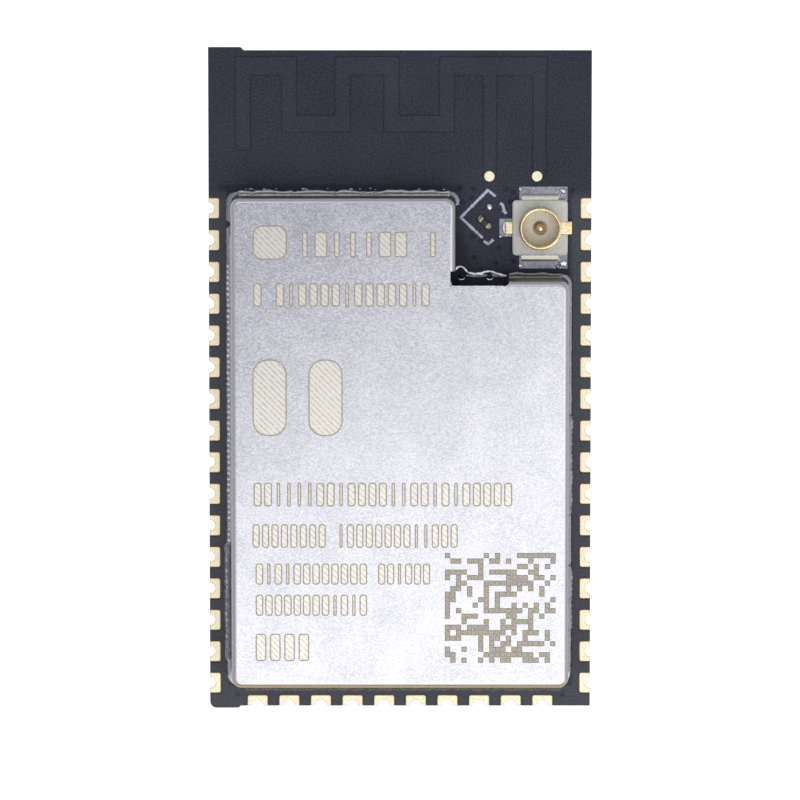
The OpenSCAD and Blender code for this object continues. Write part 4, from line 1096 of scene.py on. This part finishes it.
def cellTree():
    tree, given = newTree("laserCells", [
        ("Count", "Int", 4), ("Pitch", "Float", 0.5 * mm), ("Start", "Vector", (0, 0, 0)),
        ("From", "Float", 0.0), ("To", "Float", 1.0), ("Rows", "Int", 1), ("Seed", "Int", 1),
        ("Material", "Material", None)])
    across = addNode(tree, "ShaderNodeCombineXYZ", {0: given["Pitch"]})
    up = addNode(tree, "ShaderNodeCombineXYZ", {1: given["Pitch"]})
    line = addNode(tree, "GeometryNodeMeshLine", {
        "Count": given["Count"], "Start Location": given["Start"], "Offset": across})
    column = addNode(tree, "GeometryNodeMeshLine", {"Count": given["Rows"], "Offset": up})
    field = addNode(tree, "GeometryNodeInstanceOnPoints", {"Points": column, "Instance": line})
    spots = addNode(tree, "GeometryNodeRealizeInstances", {"Geometry": field})
    chance = addNode(tree, "FunctionNodeRandomValue", {2: 0.0, 3: 1.0, "Seed": given["Seed"]})
    above = addNode(tree, "FunctionNodeCompare", {
        "data_type": "FLOAT", "operation": "GREATER_EQUAL", 0: chance, 1: given["From"]})
    below = addNode(tree, "FunctionNodeCompare", {
        "data_type": "FLOAT", "operation": "LESS_THAN", 0: chance, 1: given["To"]})
    both = addNode(tree, "FunctionNodeBooleanMath", {"operation": "AND", 0: above, 1: below})
    cells = addNode(tree, "GeometryNodeInstanceOnPoints", {
        "Points": spots, "Instance": given["Geometry"], "Selection": both})
    closeTree(tree, cells, given["Material"])
    return tree


def laserRows(name, makeCell, material, tree):
    look = laserLook
    top = canHigh.z
    made = []
    for left, middle, width, height, pitch, cells, share, seed in look["rows"]:
        kinds = (("Wide", width, 0.0, share), ("Slim", width * look["slim"], share, look["kept"]))
        for kind, wide, start, end in kinds:
            cell = makeCell(wide, height, min(look["corner"], wide * 0.42))
            made.append(runNodes(name + kind, meshParts(name + kind, [cell], smooth=False), tree, {
                "Count": cells, "Pitch": pitch * mm, "Start": metres(left + pitch / 2, middle, top),
                "From": start, "To": end, "Rows": 1, "Seed": seed, "Material": material}))
    singles = []
    for x, y, width, height, radius in look["singles"]:
        points, faces = makeCell(width, height, radius)
        singles.append(([(px + x, py + y, pz + top) for px, py, pz in points], faces))
    solo = meshParts(name + "Large", singles, smooth=False)
    solo.data.materials.append(material)
    return joinPieces(name, made + [solo])


def laserGrid(material, tree):
    look = laserLook["grid"]
    size = look["size"] / 2
    start = metres(look["start"][0] + size, look["start"][1] + size, canHigh.z)
    cell = [(-size, -size, 0), (size, -size, 0), (size, size, 0), (-size, size, 0)]
    cell += [(0.86 * x, 0.86 * y, laserLook["rise"]) for x, y, z in cell]
    source = meshParts("laserGrid", [(cell, [(3, 2, 1, 0), (4, 5, 6, 7)] + band(0, 4, 4))], smooth=False)
    return runNodes("laserGrid", source, tree, {
        "Count": look["cells"], "Rows": look["cells"], "Pitch": look["pitch"] * mm, "Start": start,
        "From": 0.0, "To": look["share"], "Seed": look["seed"], "Material": material})


# made and placed

keep(canLand(), "tinned_land", "shield_land")
keep(maskLaps(), "solder_mask", material=mask)
keep(canSolder(), "solder", "shield_solder")
keep(slotSolder(), "solder", "slot_solder")
keep(slotEdge(), "can_sheet")
keep(coaxSolder(), "solder", "coax_solder")
print("solder fillets made")
keep(canBeads(beadTree()), "solder")
print("solder beads made")
selectorBody, selectorCaps = selectorParts()
keep(selectorBody, "resistor_body", "link_body", material=resistor)
keep(selectorCaps, "solder", "link_ends", material=dullTin)
keep(spareLump(), "solder", "spare_solder", material=solder)
keep(printedFrame(), "print", "printed_mark", material=ink)
keep(viaPlugs(), "solder_mask", material=mask)
print("selector, print and vias made")
cells = cellTree()
keep(laserRows("laserFill", fillCell, laserFrost, cells), "can_sheet")
keep(laserRows("laserLine", outlineCell, laserBurn, cells), "can_sheet")
keep(laserGrid(laserBurn, cells), "can_sheet")
print("laser marks made")


# floor, lights and camera

floorLook = {"half": 1.2, "below": 2e-5, "colour": "#D8D8D8", "glow": 0.85}
lampLook = {
    "key": {"place": (0.090, -0.203, 0.33), "turn": 24.0, "size": 0.4, "power": 0.78, "colour": "#FFFEFA"},
    "rim": {"place": (-0.060, 0.125, 0.33), "turn": -25.0, "size": 0.13, "power": 0.09, "colour": "#F6F8FF"},
}
worldLook = {"colour": "#EEF0FA", "strength": 0.46}
viewLook = {"distance": 0.23, "tilt": 5.0, "focal": 219.4, "aim": (0.0, -0.00095, 0.0008)}


def makeFloor():
    look = floorLook
    size, z = look["half"], -look["below"]
    corners = [(-size, -size, z), (size, -size, z), (size, size, z), (-size, size, z)]
    floor = fromFaces("studioFloor", corners, [(0, 1, 2, 3)], smooth=False)
    material = bpy.data.materials.new("paleStudioPaper")  # plain paper sweep that reads as white
    material.use_nodes = True
    tree = material.node_tree
    tree.nodes.clear()
    paper = addNode(tree, "ShaderNodeBsdfDiffuse", {"Color": look["colour"]})
    glow = addNode(tree, "ShaderNodeEmission", {"Strength": look["glow"]})
    lifted = addNode(tree, "ShaderNodeAddShader", {0: paper, 1: glow})
    ray = addNode(tree, "ShaderNodeLightPath").outputs
    first = addNode(tree, "ShaderNodeMath", {
        "operation": "MAXIMUM", 0: ray["Is Camera Ray"], 1: ray["Is Glossy Ray"]})
    seen = addNode(tree, "ShaderNodeMath", {"operation": "MAXIMUM", 0: first, 1: ray["Is Transmission Ray"]})
    pick = addNode(tree, "ShaderNodeMixShader", {0: seen, 1: paper, 2: lifted})
    addNode(tree, "ShaderNodeOutputMaterial", {"Surface": pick})
    floor.data.materials.append(material)


def makeLamp(name, look):
    lamp = bpy.data.lights.new(name, "AREA")
    lamp.shape = "SQUARE"
    lamp.size = look["size"]
    lamp.energy = look["power"]
    lamp.color = fromHex(look["colour"])[:3]
    holder = newObject(name, lamp)
    holder.location = look["place"]
    holder.rotation_euler = (0, 0, math.radians(look["turn"]))
    holder.visible_camera = False


def makeWorld():
    world = bpy.data.worlds.new("paleStudio")
    bpy.context.scene.world = world
    world.use_nodes = True
    tree = world.node_tree
    tree.nodes.clear()
    room = addNode(tree, "ShaderNodeBackground", {
        "Color": worldLook["colour"], "Strength": worldLook["strength"]})
    white = addNode(tree, "ShaderNodeBackground", {"Strength": 1.0})
    ray = addNode(tree, "ShaderNodeLightPath").outputs
    pick = addNode(tree, "ShaderNodeMixShader", {0: ray["Is Camera Ray"], 1: room, 2: white})
    addNode(tree, "ShaderNodeOutputWorld", {"Surface": pick})


def makeCamera():
    look = viewLook
    view = bpy.data.cameras.new("mainView")
    view.lens = look["focal"]
    view.sensor_width = 36.0
    view.clip_start = 0.01
    camera = newObject("mainView", view)
    tilt = math.radians(look["tilt"])
    away = Vector((0, math.sin(tilt), math.cos(tilt)))
    camera.location = Vector(look["aim"]) + away * look["distance"]
    camera.rotation_euler = (-tilt, 0, 0)
    bpy.context.scene.camera = camera


makeFloor()
for name, look in lampLook.items():
    makeLamp(name, look)
makeWorld()
makeCamera()
bpy.context.scene.view_settings.view_transform = "Standard"
print("floor, lamps and camera set")
